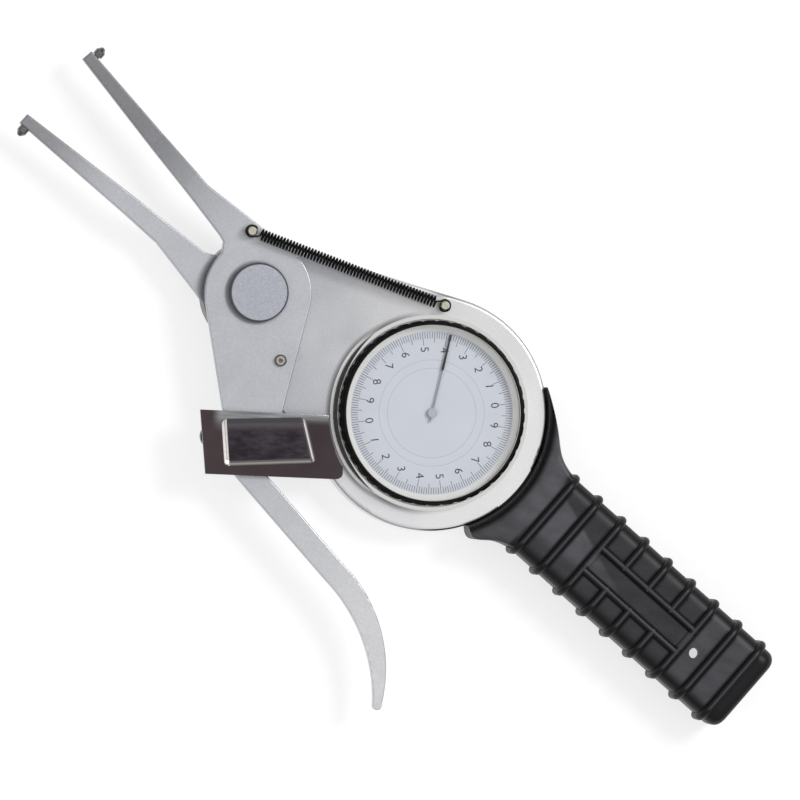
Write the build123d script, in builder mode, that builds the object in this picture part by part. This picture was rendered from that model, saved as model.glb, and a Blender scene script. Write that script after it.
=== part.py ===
# Inside dial caliper, 15 to 35 mm. A fixed leg on the dial case and a leg on a
# swinging arm reach into a bore or groove. Pulling the trigger draws the two
# contacts together, a spring opens them, and a toothed sector turns the pointer.
#
# Frame: +X runs from the handle to the contacts, +Y to the trigger side, +Z out
# of the dial. The origin is on the dial axis, on the face that the tool lies on.
import os
from math import acos, asin, atan2, ceil, cos, degrees, hypot, pi, radians, sin, sqrt

from build123d import *

os.makedirs("parts", exist_ok=True)

# Bezel and the rings that are sized from it
bezel_radius = 29.7
rim_gap = 0.5
case_margin = 8.1
bezel_lip_width = 1.7
seat_inset = 2.8
flange_reach = 3.4
pointer_end_gap = 0.5
plate_arc_gap = 4.1

# Case
case_height = 10.5
case_wall = 3.0
front_wall = 2.5
case_edge_round = 1.2
cover_thickness = 1.5
cover_inset = 0.4
cover_screw_radius = 0.9
cover_screw_head_radius = 1.9
cover_boss_radius = 2.4

# Dial seat on the case
rim_width = 1.2
rim_height = 1.4
seat_height = 1.5

# Pivot
pivot_x = 67.4
pivot_y = 8.3
frame_hub_radius = 17.6
arm_hub_radius = 17.2
axle_radius = 4.0
axle_clearance = 0.04
pivot_boss_radius = 8.5
pivot_boss_depth = 2.3
cap_radius = 9.4
cap_height = 2.3
washer_thickness = 0.3
washer_radius = 8.0
nut_width = 11.0
nut_height = 1.6

# Arm and legs, measured from the pivot
arm_thickness = 3.5
lever_top = (-32.3, 48.6)
trigger_bend = (-77.0, 54.5)
trigger_middle = (-97.1, 60.0)
trigger_tip = (-115.3, 74.7)
trigger_width = 7.8
lever_neck_x = -40.3
leg_reach = 92.7
leg_seat_y = 10.1
leg_thickness = 4.0
leg_tip_width = 3.6
leg_z = 10.1
fixed_leg_root_z = 7.5
fixed_joggle = 36.0
arm_joggle = 38.0
joggle_length = 11.0
edge_round = 0.5

# Contacts
contact_radius = 1.65
contact_length = 3.3
contact_nose_length = 1.5
contact_shank_radius = 1.0
contact_shank_length = 2.4
contact_inset = 2.3
contact_offset = 2.0

# Travel of the arm, and the distance between the contacts at its two ends
open_distance = 39.0
closed_distance = 15.0

# Gear train
pinion_teeth = 15
sector_circle_teeth = 429
backlash = 0.12
pressure_angle = 20.0
sector_thickness = 1.8
sector_gap = 0.4
sector_rim = 3.5
sector_spoke = 3.0
sector_hub_radius = 7.5
arbor_radius = 0.75
arbor_clearance = 0.04
bush_radius = 1.8
bridge_thickness = 1.2
bridge_gap = 0.8
bridge_pillar_radius = 2.2
bridge_pillar_spread = 8.5
bridge_pillar_distance = 10.0
hairspring_turns = 4
hairspring_thickness = 0.25
hairspring_height = 0.6
collet_radius = 1.5
stud_radius = 0.7

# Drive screw between arm and sector
drive_radius = 22.8
drive_angle = 149.4
drive_shank_radius = 1.5
drive_head_radius = 1.9
drive_head_height = 0.9
drive_slot_clearance = 0.3

# Bezel and dial
bezel_height = 5.8
bezel_lip_height = 0.9
bezel_wall = 0.9
bezel_gap = 0.6
scallops = 42
scallop_radius = 1.7
scallop_depth = 0.35
crystal_thickness = 1.3
gasket_thickness = 0.25
flange_height = 1.45
dial_thickness = 0.5
dial_hole_radius = 1.6
clamp_height = 1.0
retainer_wire_radius = 0.35
ring_clearance = 0.1

# Pointer
pointer_angle = -62.2
pointer_tail = 3.0
pointer_stem_width = 0.36
pointer_blade_start = 14.0
pointer_blade_width = 0.8
pointer_tip_width = 0.45
pointer_thickness = 0.4
pointer_gap = 0.5
pointer_hub_radius = 1.6
pointer_hub_height = 0.8

# Return spring and its posts
spring_wire = 0.5
spring_radius = 1.6
spring_pitch = 1.07
spring_lead = 3.1
hook_radius = 1.85
post_neck_radius = 1.3
post_head_radius = 1.5
post_slot_width = 0.45
post_foot_radius = 2.0
frame_post_inset = 3.2
frame_post_angle = -55.25
arm_post_radius = 19.7
arm_post_angle = -41.3
frame_post_z = 15.5
arm_post_z = 18.4

# Name plate on its pillars
plate_thickness = 1.4
plate_gap = 0.8
plate_round = 2.0
plate_pillar_radius = 1.6
bracket_thickness = 3.5
bracket_width = 8.0

# Handle
grip_end_x = -136.6
grip_start_x = -48.5
grip_width = 30.3
grip_bottom_z = 1.4
grip_thickness = 17.0
grip_corner = 5.1
grip_end_round = 3.5
rib_height = 1.4
rib_width = 2.8
rib_count = 9
rib_pitch = 10.12
first_rib_x = -49.0
ridge_width = 2.6
ridge_centre_y = 0.85
ridge_spacing = 9.1
ridge_start_x = -69.4
ridge_end_x = -109.8
collar_clearance = 0.3
collar_round = 1.8
collar_slope_width = 5.5
collar_slope_height = 6.2
grip_wall = 3.0
tang_width = 16.0
tang_thickness = 4.2
tang_end_x = -98.0
tang_clearance = 0.1
hang_hole_x = -114.5
hang_hole_y = 1.7
hang_hole_radius = 1.7
hang_hole_bore_length = 4.0
hang_hole_back_radius = 4.2
hang_hole_wall = 1.3
grip_screw_radius = 1.4
grip_screw_head_radius = 2.7
grip_screw_length = 13.0

# Small clearance of a screw, pin or bush in its hole
fit_clearance = 0.02

# Worked-out sizes and places
case_radius = bezel_radius + case_margin
rim_inner_radius = bezel_radius + rim_gap
bezel_lip_radius = bezel_radius - bezel_lip_width
seat_radius = bezel_radius - seat_inset
flange_inner_radius = bezel_radius - flange_reach
pointer_length = flange_inner_radius - pointer_end_gap
plate_arc_radius = bezel_radius + plate_arc_gap
pivot = (pivot_x, pivot_y)
pivot_distance = hypot(pivot_x, pivot_y)
pivot_angle = degrees(atan2(pivot_y, pivot_x))
face_z = cover_thickness + case_height
wall_z = face_z - front_wall
arm_z = face_z + washer_thickness
arm_top_z = arm_z + arm_thickness
sector_top_z = wall_z - pivot_boss_depth - sector_gap
sector_z = sector_top_z - sector_thickness
leg_mid_z = leg_z + leg_thickness / 2
grip_mid_z = grip_bottom_z + grip_thickness / 2
gear_module = 2 * pivot_distance / (pinion_teeth + sector_circle_teeth)
pinion_pitch_radius = gear_module * pinion_teeth / 2
sector_pitch_radius = gear_module * sector_circle_teeth / 2
gear_ratio = sector_circle_teeth / pinion_teeth


def polar(radius, angle, centre=(0.0, 0.0)):
    """The point at a radius and an angle from a centre."""
    return (centre[0] + radius * cos(radians(angle)), centre[1] + radius * sin(radians(angle)))


def at_pivot(z):
    """The level plane at height z whose origin is on the pivot axis."""
    return Plane(origin=(pivot_x, pivot_y, z))


# Contact places from the pivot, and the swing that closes them
fixed_contact_x = leg_reach - contact_inset
fixed_tip_y = leg_seat_y + contact_length
arm_tip_y = fixed_tip_y - open_distance
arm_seat_y = arm_tip_y + contact_length
arm_contact_x = fixed_contact_x - contact_offset
arm_contact_radius = hypot(arm_contact_x, arm_tip_y)
arm_contact_angle = degrees(atan2(arm_tip_y, arm_contact_x))
closed_angle = degrees(atan2(fixed_tip_y - closed_distance, arm_contact_radius))
arm_swing = closed_angle - arm_contact_angle


def upper_rim(part):
    """The edges that bound the upper faces of a plate that steps up or down."""
    rims = {}
    for face in part.faces():
        if face.normal_at().Z > 0.5:
            for edge in face.outer_wire().edges():
                middle = edge.center()
                place = (round(middle.X, 3), round(middle.Y, 3), round(middle.Z, 3))
                rims.setdefault(place, []).append(edge)
    return [edges[0] for edges in rims.values() if len(edges) == 1]


def slotted_screw(shank_radius, length, head_radius, head_height, rim_height=0.0):
    """A slotted screw with its head's top at z 0 and its shank pointing down."""
    rim = [(head_radius, -rim_height)] if rim_height > 0 else []
    with BuildPart() as screw:
        with BuildSketch(Plane.XZ):
            with BuildLine():
                Polyline(
                    (0, 0),
                    (head_radius, 0),
                    *rim,
                    (shank_radius, -head_height),
                    (shank_radius, -length),
                    (0, -length),
                    close=True,
                )
            make_face()
        revolve(axis=Axis.Z)
        slot_depth = head_height * 0.45
        Box(
            2.2 * head_radius,
            0.35 * head_radius,
            slot_depth,
            align=(Align.CENTER, Align.CENTER, Align.MAX),
            mode=Mode.SUBTRACT,
        )
    return screw.part


def case_outline(inset):
    """Dial ring, hub and the web between them, as a sketch."""
    ring = case_radius - inset
    hub = frame_hub_radius - inset
    spread = degrees(acos((case_radius - frame_hub_radius) / pivot_distance))
    with BuildSketch() as outline:
        Circle(ring)
        with Locations(pivot):
            Circle(hub)
        with BuildLine():
            Polyline(
                polar(ring, pivot_angle + spread),
                polar(hub, pivot_angle + spread, pivot),
                polar(hub, pivot_angle - spread, pivot),
                polar(ring, pivot_angle - spread),
                close=True,
            )
        make_face()
    return outline.sketch


def arc_band(radius, half_width, start, end):
    """A slot along an arc about the origin, as a sketch."""
    outer = radius + half_width
    inner = radius - half_width
    before = start - degrees(half_width / radius)
    after = end + degrees(half_width / radius)
    with BuildSketch() as band:
        with BuildLine():
            CenterArc((0, 0), outer, start, end - start)
            CenterArc((0, 0), inner, start, end - start)
            ThreePointArc(polar(outer, start), polar(radius, before), polar(inner, start))
            ThreePointArc(polar(outer, end), polar(radius, after), polar(inner, end))
        make_face()
    return band.sketch


frame_post_x, frame_post_y = polar(case_radius - frame_post_inset, frame_post_angle)
arm_post_x, arm_post_y = polar(arm_post_radius, arm_post_angle, pivot)
cover_screw_places = [
    polar(case_radius - case_wall - 1.6, 75),
    polar(case_radius - case_wall - 1.6, 140),
    polar(case_radius - case_wall - 1.6, 215),
    polar(case_radius - case_wall - 1.6, 290),
    polar(frame_hub_radius - case_wall - 1.6, 45, pivot),
    polar(frame_hub_radius - case_wall - 1.6, -60, pivot),
]
bridge_pillar_places = [
    (-bridge_pillar_distance, bridge_pillar_spread),
    (-bridge_pillar_distance, -bridge_pillar_spread),
]
stud_place = (-5.0, 5.6)
plate_pillar_places = [
    polar(case_radius - 1.9, 64.8),
    polar(case_radius - 1.5, 48.6),
    (47.6, 52.0),
]
grip_screw_xs = [first_rib_x - rib_pitch * (gap + 0.5) for gap in (0, 2, 4)]

# Fixed leg, a flat bar that steps up towards the dial side
with BuildPart() as fixed_leg:
    with BuildSketch(at_pivot(fixed_leg_root_z)):
        with BuildLine():
            Polyline(
                (8.4, 14.4),
                (14.0, 13.2),
                (34.5, 9.4),
                (leg_reach, leg_seat_y),
                (leg_reach, leg_seat_y - leg_tip_width),
                (34.0, 2.25),
                (21.0, 1.45),
                (16.9, -0.7),
                (2.0, -2.0),
                (2.0, 8.0),
                close=True,
            )
        make_face()
    extrude(amount=leg_z + leg_thickness - fixed_leg_root_z)
    with BuildSketch(Plane(origin=(pivot_x, pivot_y, 0), x_dir=(1, 0, 0), z_dir=(0, -1, 0))):
        with BuildLine():
            Polyline(
                (0, fixed_leg_root_z),
                (fixed_joggle + 1.0, fixed_leg_root_z),
                (fixed_joggle + joggle_length + 1.0, leg_z),
                (leg_reach, leg_z),
                (leg_reach, leg_z + leg_thickness),
                (fixed_joggle + joggle_length, leg_z + leg_thickness),
                (fixed_joggle, fixed_leg_root_z + leg_thickness),
                (0, fixed_leg_root_z + leg_thickness),
                close=True,
            )
        make_face()
    extrude(amount=case_radius, both=True, mode=Mode.INTERSECT)
    fillet(upper_rim(fixed_leg), edge_round)

# Frame: the hollow dial case and hub, the fixed leg, the tang and the plate bracket
with BuildPart() as frame_body:
    with BuildSketch(Plane.XY.offset(cover_thickness)):
        add(case_outline(0))
    extrude(amount=case_height)
    fillet(frame_body.faces().sort_by(Axis.Z)[-1].outer_wire().edges(), case_edge_round)
    add(fixed_leg.part)
    with BuildSketch(Plane.XY.offset(grip_mid_z - tang_thickness / 2)):
        with Locations(((tang_end_x - case_radius + case_wall) / 2, 0)):
            Rectangle(-case_radius + case_wall - tang_end_x, tang_width)
    extrude(amount=tang_thickness)
    with BuildSketch(Plane.XY.offset(face_z - bracket_thickness)):
        with BuildLine():
            pillar_x, pillar_y = plate_pillar_places[2]
            Polyline(
                (pillar_x - bracket_width + 0.4, 29.0),
                (pillar_x + 0.4, 29.0),
                (pillar_x + bracket_width / 2, pillar_y),
                (pillar_x - bracket_width / 2, pillar_y),
                close=True,
            )
        make_face()
        with Locations(plate_pillar_places[2]):
            Circle(bracket_width / 2)
    extrude(amount=bracket_thickness)
    with BuildSketch(Plane.XY.offset(cover_thickness)):
        add(case_outline(case_wall))
    extrude(amount=case_height - front_wall, mode=Mode.SUBTRACT)
    with BuildSketch(Plane.XY.offset(cover_thickness)):
        with Locations(*cover_screw_places):
            Circle(cover_boss_radius)
    extrude(amount=case_height - front_wall)
    with BuildSketch(Plane.XY.offset(wall_z - pivot_boss_depth)):
        with Locations(pivot):
            Circle(pivot_boss_radius)
    extrude(amount=pivot_boss_depth)
    with BuildSketch(Plane.XY.offset(face_z)):
        Circle(rim_inner_radius + rim_width)
        Circle(rim_inner_radius, mode=Mode.SUBTRACT)
        Circle(seat_radius)
    extrude(amount=rim_height)
    with BuildSketch(Plane.XY.offset(face_z + rim_height)):
        Circle(seat_radius)
    extrude(amount=seat_height - rim_height)
    # Groove round the seat for the wire that holds the bezel down
    with BuildSketch(Plane.XZ):
        with Locations((seat_radius, face_z + seat_height / 2)):
            Circle(retainer_wire_radius + fit_clearance)
    revolve(axis=Axis.Z, mode=Mode.SUBTRACT)
    # Slot that lets the drive screw swing with the arm
    with BuildSketch(at_pivot(wall_z)):
        add(
            arc_band(
                drive_radius,
                drive_shank_radius + drive_slot_clearance,
                drive_angle,
                drive_angle + arm_swing,
            )
        )
    extrude(amount=front_wall, mode=Mode.SUBTRACT)
    with Locations((pivot_x, pivot_y, wall_z - pivot_boss_depth)):
        Cylinder(
            axle_radius + fit_clearance,
            pivot_boss_depth + front_wall,
            align=(Align.CENTER, Align.CENTER, Align.MIN),
            mode=Mode.SUBTRACT,
        )
    with Locations((0, 0, wall_z)):
        Cylinder(
            bush_radius + fit_clearance,
            front_wall + seat_height,
            align=(Align.CENTER, Align.CENTER, Align.MIN),
            mode=Mode.SUBTRACT,
        )
    with Locations(*[(x, y, cover_thickness) for x, y in cover_screw_places]):
        Cylinder(
            cover_screw_radius + fit_clearance,
            case_height - front_wall - 1.0,
            align=(Align.CENTER, Align.CENTER, Align.MIN),
            mode=Mode.SUBTRACT,
        )
    with Locations(*[(x, y, wall_z) for x, y in bridge_pillar_places]):
        Cylinder(
            cover_screw_radius + fit_clearance,
            front_wall - 0.5,
            align=(Align.CENTER, Align.CENTER, Align.MIN),
            mode=Mode.SUBTRACT,
        )
    with Locations((stud_place[0], stud_place[1], wall_z)):
        Cylinder(
            stud_radius + fit_clearance,
            front_wall - 0.5,
            align=(Align.CENTER, Align.CENTER, Align.MIN),
            mode=Mode.SUBTRACT,
        )
    with Locations(*[(x, y, face_z) for x, y in plate_pillar_places]):
        Cylinder(
            plate_pillar_radius - 0.6 + fit_clearance,
            3.0,
            align=(Align.CENTER, Align.CENTER, Align.MAX),
            mode=Mode.SUBTRACT,
        )
    with Locations((frame_post_x, frame_post_y, face_z)):
        Cylinder(
            post_neck_radius - 0.4 + fit_clearance,
            4.0,
            align=(Align.CENTER, Align.CENTER, Align.MAX),
            mode=Mode.SUBTRACT,
        )
    with Locations(*[(x, 0, grip_mid_z) for x in grip_screw_xs]):
        Cylinder(grip_screw_radius + 0.2, tang_thickness, mode=Mode.SUBTRACT)
    contact_hole = Location(
        (pivot_x + fixed_contact_x, pivot_y + leg_seat_y, leg_mid_z), (90, 0, 0)
    )
    with Locations(contact_hole):
        Cylinder(
            contact_shank_radius + fit_clearance,
            2 * contact_shank_length,
            mode=Mode.SUBTRACT,
        )
frame_body.part.label = "frame_body"
export_step(frame_body.part, "parts/frame_body.step")


def make_contact():
    """A round contact with its seat at z 0, its nose up and its shank down."""
    with BuildPart() as contact:
        shoulder = contact_length - contact_nose_length
        nose = contact_radius * 0.42
        nose_rise = 0.2
        sphere = (nose**2 + nose_rise**2) / (2 * nose_rise)
        half_cap = asin(nose / sphere) / 2
        with BuildSketch(Plane.XZ):
            with BuildLine():
                Polyline(
                    (0, -contact_shank_length),
                    (contact_shank_radius, -contact_shank_length),
                    (contact_shank_radius, 0),
                    (contact_radius, 0),
                    (contact_radius, shoulder),
                    (nose, contact_length - nose_rise),
                )
                ThreePointArc(
                    (nose, contact_length - nose_rise),
                    (sphere * sin(half_cap), contact_length - sphere * (1 - cos(half_cap))),
                    (0, contact_length),
                )
                Line((0, contact_length), (0, -contact_shank_length))
            make_face()
        revolve(axis=Axis.Z)
    return contact.part


# Fixed contact, pressed into the end of the fixed leg
with BuildPart() as fixed_contact:
    turned = (-90, 0, 0)
    place = (pivot_x + fixed_contact_x, pivot_y + leg_seat_y, leg_mid_z)
    with Locations(Location(place, turned)):
        add(make_contact())
fixed_contact.part.label = "fixed_contact"
export_step(fixed_contact.part, "parts/fixed_contact.step")

# Back cover with its countersunk screws
with BuildPart() as back_cover:
    with BuildSketch():
        add(case_outline(cover_inset))
    extrude(amount=cover_thickness)
    chamfer(back_cover.faces().sort_by(Axis.Z)[0].outer_wire().edges(), 0.4)
    with Locations(*[Location((x, y, 0), (180, 0, 0)) for x, y in cover_screw_places]):
        CounterSinkHole(
            cover_screw_radius + fit_clearance,
            cover_screw_head_radius + fit_clearance,
            depth=cover_thickness,
            counter_sink_angle=90,
        )
back_cover.part.label = "back_cover"
export_step(back_cover.part, "parts/back_cover.step")

cover_screw = slotted_screw(
    cover_screw_radius, 6.0, cover_screw_head_radius, cover_screw_head_radius - cover_screw_radius
)
with BuildPart() as cover_screws:
    with Locations(*[Location((x, y, 0), (180, 0, 0)) for x, y in cover_screw_places]):
        add(cover_screw)
cover_screws.part.label = "cover_screws"
export_step(cover_screws.part, "parts/cover_screws.step")

# Pivot axle with its wide cap, the washer under the arm and the nut inside the case
nut_z = sector_z - 0.3 - nut_height
with BuildPart() as pivot_axle:
    with BuildSketch(at_pivot(nut_z - 0.4)):
        Circle(axle_radius)
    extrude(amount=arm_top_z + 0.05 - nut_z + 0.4)
    with BuildSketch(at_pivot(arm_top_z + 0.05)):
        Circle(cap_radius)
    extrude(amount=cap_height)
    chamfer(pivot_axle.faces().sort_by(Axis.Z)[-1].edges(), 0.35)
pivot_axle.part.label = "pivot_axle"
export_step(pivot_axle.part, "parts/pivot_axle.step")

with BuildPart() as pivot_washer:
    with BuildSketch(at_pivot(face_z)):
        Circle(washer_radius)
        Circle(axle_radius + axle_clearance, mode=Mode.SUBTRACT)
    extrude(amount=washer_thickness - 0.02)
pivot_washer.part.label = "pivot_washer"
export_step(pivot_washer.part, "parts/pivot_washer.step")

with BuildPart() as pivot_nut:
    with BuildSketch(at_pivot(nut_z)):
        RegularPolygon(nut_width / 2, 6, major_radius=False)
        Circle(axle_radius + fit_clearance, mode=Mode.SUBTRACT)
    extrude(amount=nut_height)
pivot_nut.part.label = "pivot_nut"
export_step(pivot_nut.part, "parts/pivot_nut.step")

# Name plate on three pillars, above the sweep of the lever
plate_z = arm_top_z + plate_gap
spigot_radius = plate_pillar_radius - 0.6
spigot_length = 2.6
plate_sink = 0.8
with BuildPart() as name_plate:
    with BuildSketch(Plane.XY.offset(plate_z)) as plate_outline:
        with BuildLine():
            Polyline((8.4, 34.7), (42.1, 63.1), (56.9, 48.8), (24.6, 22.7), (20.0, 20.0), close=True)
        make_face()
        Circle(plate_arc_radius, mode=Mode.SUBTRACT)
        far_corners = [
            corner
            for corner in plate_outline.vertices()
            if hypot(corner.X, corner.Y) > plate_arc_radius + 1
        ]
        fillet(far_corners, plate_round)
    extrude(amount=plate_thickness)
    chamfer(name_plate.faces().sort_by(Axis.Z)[-1].edges(), 0.25)
    with BuildSketch(Plane.XY.offset(plate_z + plate_thickness)) as recess_outline:
        with BuildLine():
            Polyline((39.7, 56.2), (49.7, 47.0), (30.2, 28.9), (19.6, 38.4), close=True)
        make_face()
        fillet(recess_outline.vertices(), 1.2)
    extrude(amount=-0.5, mode=Mode.SUBTRACT)
    with Locations(*[(x, y, plate_z) for x, y in plate_pillar_places]):
        Cylinder(
            spigot_radius + fit_clearance,
            plate_sink,
            align=(Align.CENTER, Align.CENTER, Align.MIN),
            mode=Mode.SUBTRACT,
        )
name_plate.part.label = "name_plate"
export_step(name_plate.part, "parts/name_plate.step")

with BuildPart() as plate_pillars:
    with BuildSketch(Plane.XY.offset(face_z)):
        with Locations(*plate_pillar_places):
            Circle(plate_pillar_radius)
    extrude(amount=plate_z - face_z)
    with BuildSketch(Plane.XY.offset(face_z - spigot_length)):
        with Locations(*plate_pillar_places):
            Circle(spigot_radius)
    extrude(amount=plate_z - face_z + spigot_length + plate_sink - 0.1)
plate_pillars.part.label = "plate_pillars"
export_step(plate_pillars.part, "parts/plate_pillars.step")

# Rib that runs round the handle, drawn about its own middle
with BuildPart() as grip_rib:
    with BuildSketch(Plane.YZ.offset(-rib_width / 2)):
        RectangleRounded(
            grip_width + 2 * rib_height, grip_thickness + 2 * rib_height, grip_corner + rib_height
        )
    extrude(amount=rib_width)
    fillet(grip_rib.edges().filter_by_position(Axis.X, -rib_width, rib_width), rib_width / 2 - 0.05)

# Collar of the handle, which hugs the case and slopes down to its ring
with BuildPart() as grip_collar:
    trigger_side = [
        (-49.0, 14.9),
        (-46.0, 15.6),
        (-42.4, 17.2),
        (-39.0, 19.8),
        (-36.2, 21.2),
        (-33.8, 20.0),
        (-31.0, 16.5),
    ]
    far_side = [
        (-16.0, -33.6),
        (-20.0, -32.4),
        (-25.0, -29.6),
        (-30.0, -26.0),
        (-36.0, -21.2),
        (-41.0, -17.2),
        (-45.0, -15.6),
        (-49.0, -14.9),
    ]
    with BuildSketch(Plane.XY.offset(grip_bottom_z)):
        with BuildLine():
            Spline(*trigger_side)
            Polyline(trigger_side[-1], (-24.0, 0.0), (-13.0, -28.0), far_side[0])
            Spline(*far_side)
            Line(far_side[-1], trigger_side[0])
        make_face()
    extrude(amount=grip_thickness)
    collar_rims = [
        edge
        for edge in grip_collar.edges()
        if abs(abs(edge.center().Z - grip_mid_z) - grip_thickness / 2) < 0.01
        and edge.center().X > trigger_side[0][0] + 0.1
    ]
    fillet(collar_rims, collar_round)
    with BuildSketch(Plane.XZ):
        with BuildLine():
            slope_start = case_radius + collar_clearance
            slope_end = slope_start + collar_slope_width
            slope_top = grip_bottom_z + grip_thickness
            ThreePointArc(
                (slope_end, slope_top + 0.05),
                (slope_start + 0.4 * collar_slope_width, slope_top - 0.2 * collar_slope_height),
                (slope_start, slope_top - collar_slope_height),
            )
            Polyline(
                (slope_start, slope_top - collar_slope_height),
                (slope_start - 20.0, slope_top - collar_slope_height),
                (slope_start - 20.0, slope_top + 3.0),
                (slope_end, slope_top + 3.0),
                (slope_end, slope_top + 0.05),
            )
        make_face()
    revolve(axis=Axis.Z, mode=Mode.SUBTRACT)
    with BuildSketch(Plane.XY.offset(grip_bottom_z)):
        Circle(case_radius + collar_clearance)
        # Blunt end where the collar gets thin
        with Locations((-22.6, -32.0)):
            Rectangle(20.0, 10.0, align=(Align.MIN, Align.CENTER))
    extrude(amount=grip_thickness, mode=Mode.SUBTRACT)

# Handle with its collar, ribs and ridges, before it is split into two shells
with BuildPart() as grip_blank:
    with BuildSketch(Plane.YZ.offset(grip_end_x)):
        with Locations((0, grip_mid_z)):
            RectangleRounded(grip_width, grip_thickness, grip_corner)
    extrude(amount=grip_start_x - grip_end_x)
    fillet(grip_blank.faces().sort_by(Axis.X)[0].edges(), grip_end_round)
    add(grip_collar.part)
    with Locations(*[(first_rib_x - rib_pitch * i, 0, grip_mid_z) for i in range(rib_count)]):
        add(grip_rib.part)
    # Blank panel on the front, where three ribs stop between the ridges
    grip_top_z = grip_bottom_z + grip_thickness
    with BuildSketch(Plane.XY.offset(grip_top_z)):
        with Locations((first_rib_x - 4 * rib_pitch, ridge_centre_y)):
            Rectangle(3 * rib_pitch - rib_width, ridge_spacing)
    extrude(amount=2 * rib_height, mode=Mode.SUBTRACT)
    ridge_length = ridge_start_x - ridge_end_x
    with BuildSketch(Plane.YZ.offset(ridge_end_x)):
        with Locations((ridge_centre_y, grip_top_z)):
            with GridLocations(ridge_spacing, 1, 2, 1):
                Ellipse(ridge_width / 2, rib_height)
    extrude(amount=ridge_length)
    # Hollow beyond the tang, with posts for the last screw and the hanging hole
    hollow_length = tang_end_x - 3.0 - grip_end_x - grip_wall
    with BuildSketch(Plane.YZ.offset(grip_end_x + grip_wall)):
        with Locations((0, grip_mid_z)):
            RectangleRounded(
                grip_width - 2 * grip_wall, grip_thickness - 2 * grip_wall, grip_corner - grip_wall
            )
    extrude(amount=hollow_length, mode=Mode.SUBTRACT)
    last_screw_x = first_rib_x - rib_pitch * (rib_count - 1.5)
    with BuildSketch(Plane.XY.offset(grip_bottom_z + 1.0)):
        with Locations((last_screw_x, 0)):
            Circle(grip_screw_radius + 2.6)
        with Locations((hang_hole_x, hang_hole_y)):
            Circle(hang_hole_back_radius + hang_hole_wall)
    extrude(amount=grip_thickness - 2.0)
    # Pocket for the tang
    with BuildSketch(Plane.XY.offset(grip_mid_z - tang_thickness / 2 - tang_clearance)):
        with Locations(((tang_end_x - case_radius + case_wall) / 2, 0)):
            Rectangle(
                -case_radius + case_wall - tang_end_x + 2 * tang_clearance,
                tang_width + 2 * tang_clearance,
            )
    extrude(amount=tang_thickness + 2 * tang_clearance, mode=Mode.SUBTRACT)
    # Hanging hole, straight behind the front and flared towards the back
    with Locations((hang_hole_x, hang_hole_y, grip_mid_z)):
        Cylinder(hang_hole_radius, 2 * grip_thickness, mode=Mode.SUBTRACT)
    with Locations((hang_hole_x, hang_hole_y, grip_bottom_z)):
        Cone(
            hang_hole_back_radius,
            hang_hole_radius,
            grip_thickness - hang_hole_bore_length,
            align=(Align.CENTER, Align.CENTER, Align.MIN),
            mode=Mode.SUBTRACT,
        )
    grip_screw_places = [
        Location((x, 0, grip_bottom_z), (180, 0, 0)) for x in grip_screw_xs + [last_screw_x]
    ]
    with Locations(*grip_screw_places):
        CounterSinkHole(
            grip_screw_radius + fit_clearance,
            grip_screw_head_radius + fit_clearance,
            depth=grip_screw_length + 0.5,
            counter_sink_angle=90,
        )

with BuildPart() as grip_front:
    add(grip_blank.part)
    split(bisect_by=Plane.XY.offset(grip_mid_z), keep=Keep.TOP)
grip_front.part.label = "grip_front"
export_step(grip_front.part, "parts/grip_front.step")

with BuildPart() as grip_rear:
    add(grip_blank.part)
    split(bisect_by=Plane.XY.offset(grip_mid_z), keep=Keep.BOTTOM)
grip_rear.part.label = "grip_rear"
export_step(grip_rear.part, "parts/grip_rear.step")

grip_screw = slotted_screw(
    grip_screw_radius,
    grip_screw_length,
    grip_screw_head_radius,
    grip_screw_head_radius - grip_screw_radius,
)
with BuildPart() as grip_screws:
    with Locations(*grip_screw_places):
        add(grip_screw)
grip_screws.part.label = "grip_screws"
export_step(grip_screws.part, "parts/grip_screws.step")


def make_post(foot_height, shank_length):
    """A slotted post for a spring hook, with the middle of its neck at z 0."""
    neck = post_neck_radius
    half = spring_wire / 2 + 0.35
    with BuildPart() as post:
        with BuildSketch(Plane.XZ):
            with BuildLine():
                Polyline(
                    (0, -half - foot_height - shank_length),
                    (neck - 0.4, -half - foot_height - shank_length),
                    (neck - 0.4, -half - foot_height),
                    (post_foot_radius, -half - foot_height),
                    (post_foot_radius, -half),
                    (neck, -half),
                    (neck, half),
                    (post_head_radius, half),
                    (post_head_radius, half + 0.7),
                    (post_head_radius - 0.3, half + 1.0),
                    (0, half + 1.0),
                    close=True,
                )
            make_face()
        revolve(axis=Axis.Z)
        with Locations((0, 0, half + 1.0)):
            Box(
                3 * post_head_radius,
                post_slot_width,
                0.5,
                align=(Align.CENTER, Align.CENTER, Align.MAX),
                mode=Mode.SUBTRACT,
            )
    return post.part


# Post on the case that holds the still end of the return spring
neck_half = spring_wire / 2 + 0.35
with BuildPart() as spring_post_frame:
    with Locations((frame_post_x, frame_post_y, frame_post_z)):
        add(make_post(frame_post_z - neck_half - face_z, 3.8))
spring_post_frame.part.label = "spring_post_frame"
export_step(spring_post_frame.part, "parts/spring_post_frame.step")

# Bushes of the pointer arbor, one in the case and one in the bridge
with BuildPart() as front_bush:
    with BuildSketch(Plane.XY.offset(wall_z)):
        Circle(bush_radius)
        Circle(arbor_radius + arbor_clearance, mode=Mode.SUBTRACT)
    extrude(amount=front_wall + seat_height - 0.2)
front_bush.part.label = "front_bush"
export_step(front_bush.part, "parts/front_bush.step")

bridge_z = sector_z - bridge_gap - bridge_thickness
with BuildPart() as rear_bush:
    with BuildSketch(Plane.XY.offset(bridge_z)):
        Circle(bush_radius)
        Circle(arbor_radius + arbor_clearance, mode=Mode.SUBTRACT)
    extrude(amount=bridge_thickness)
rear_bush.part.label = "rear_bush"
export_step(rear_bush.part, "parts/rear_bush.step")

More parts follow.
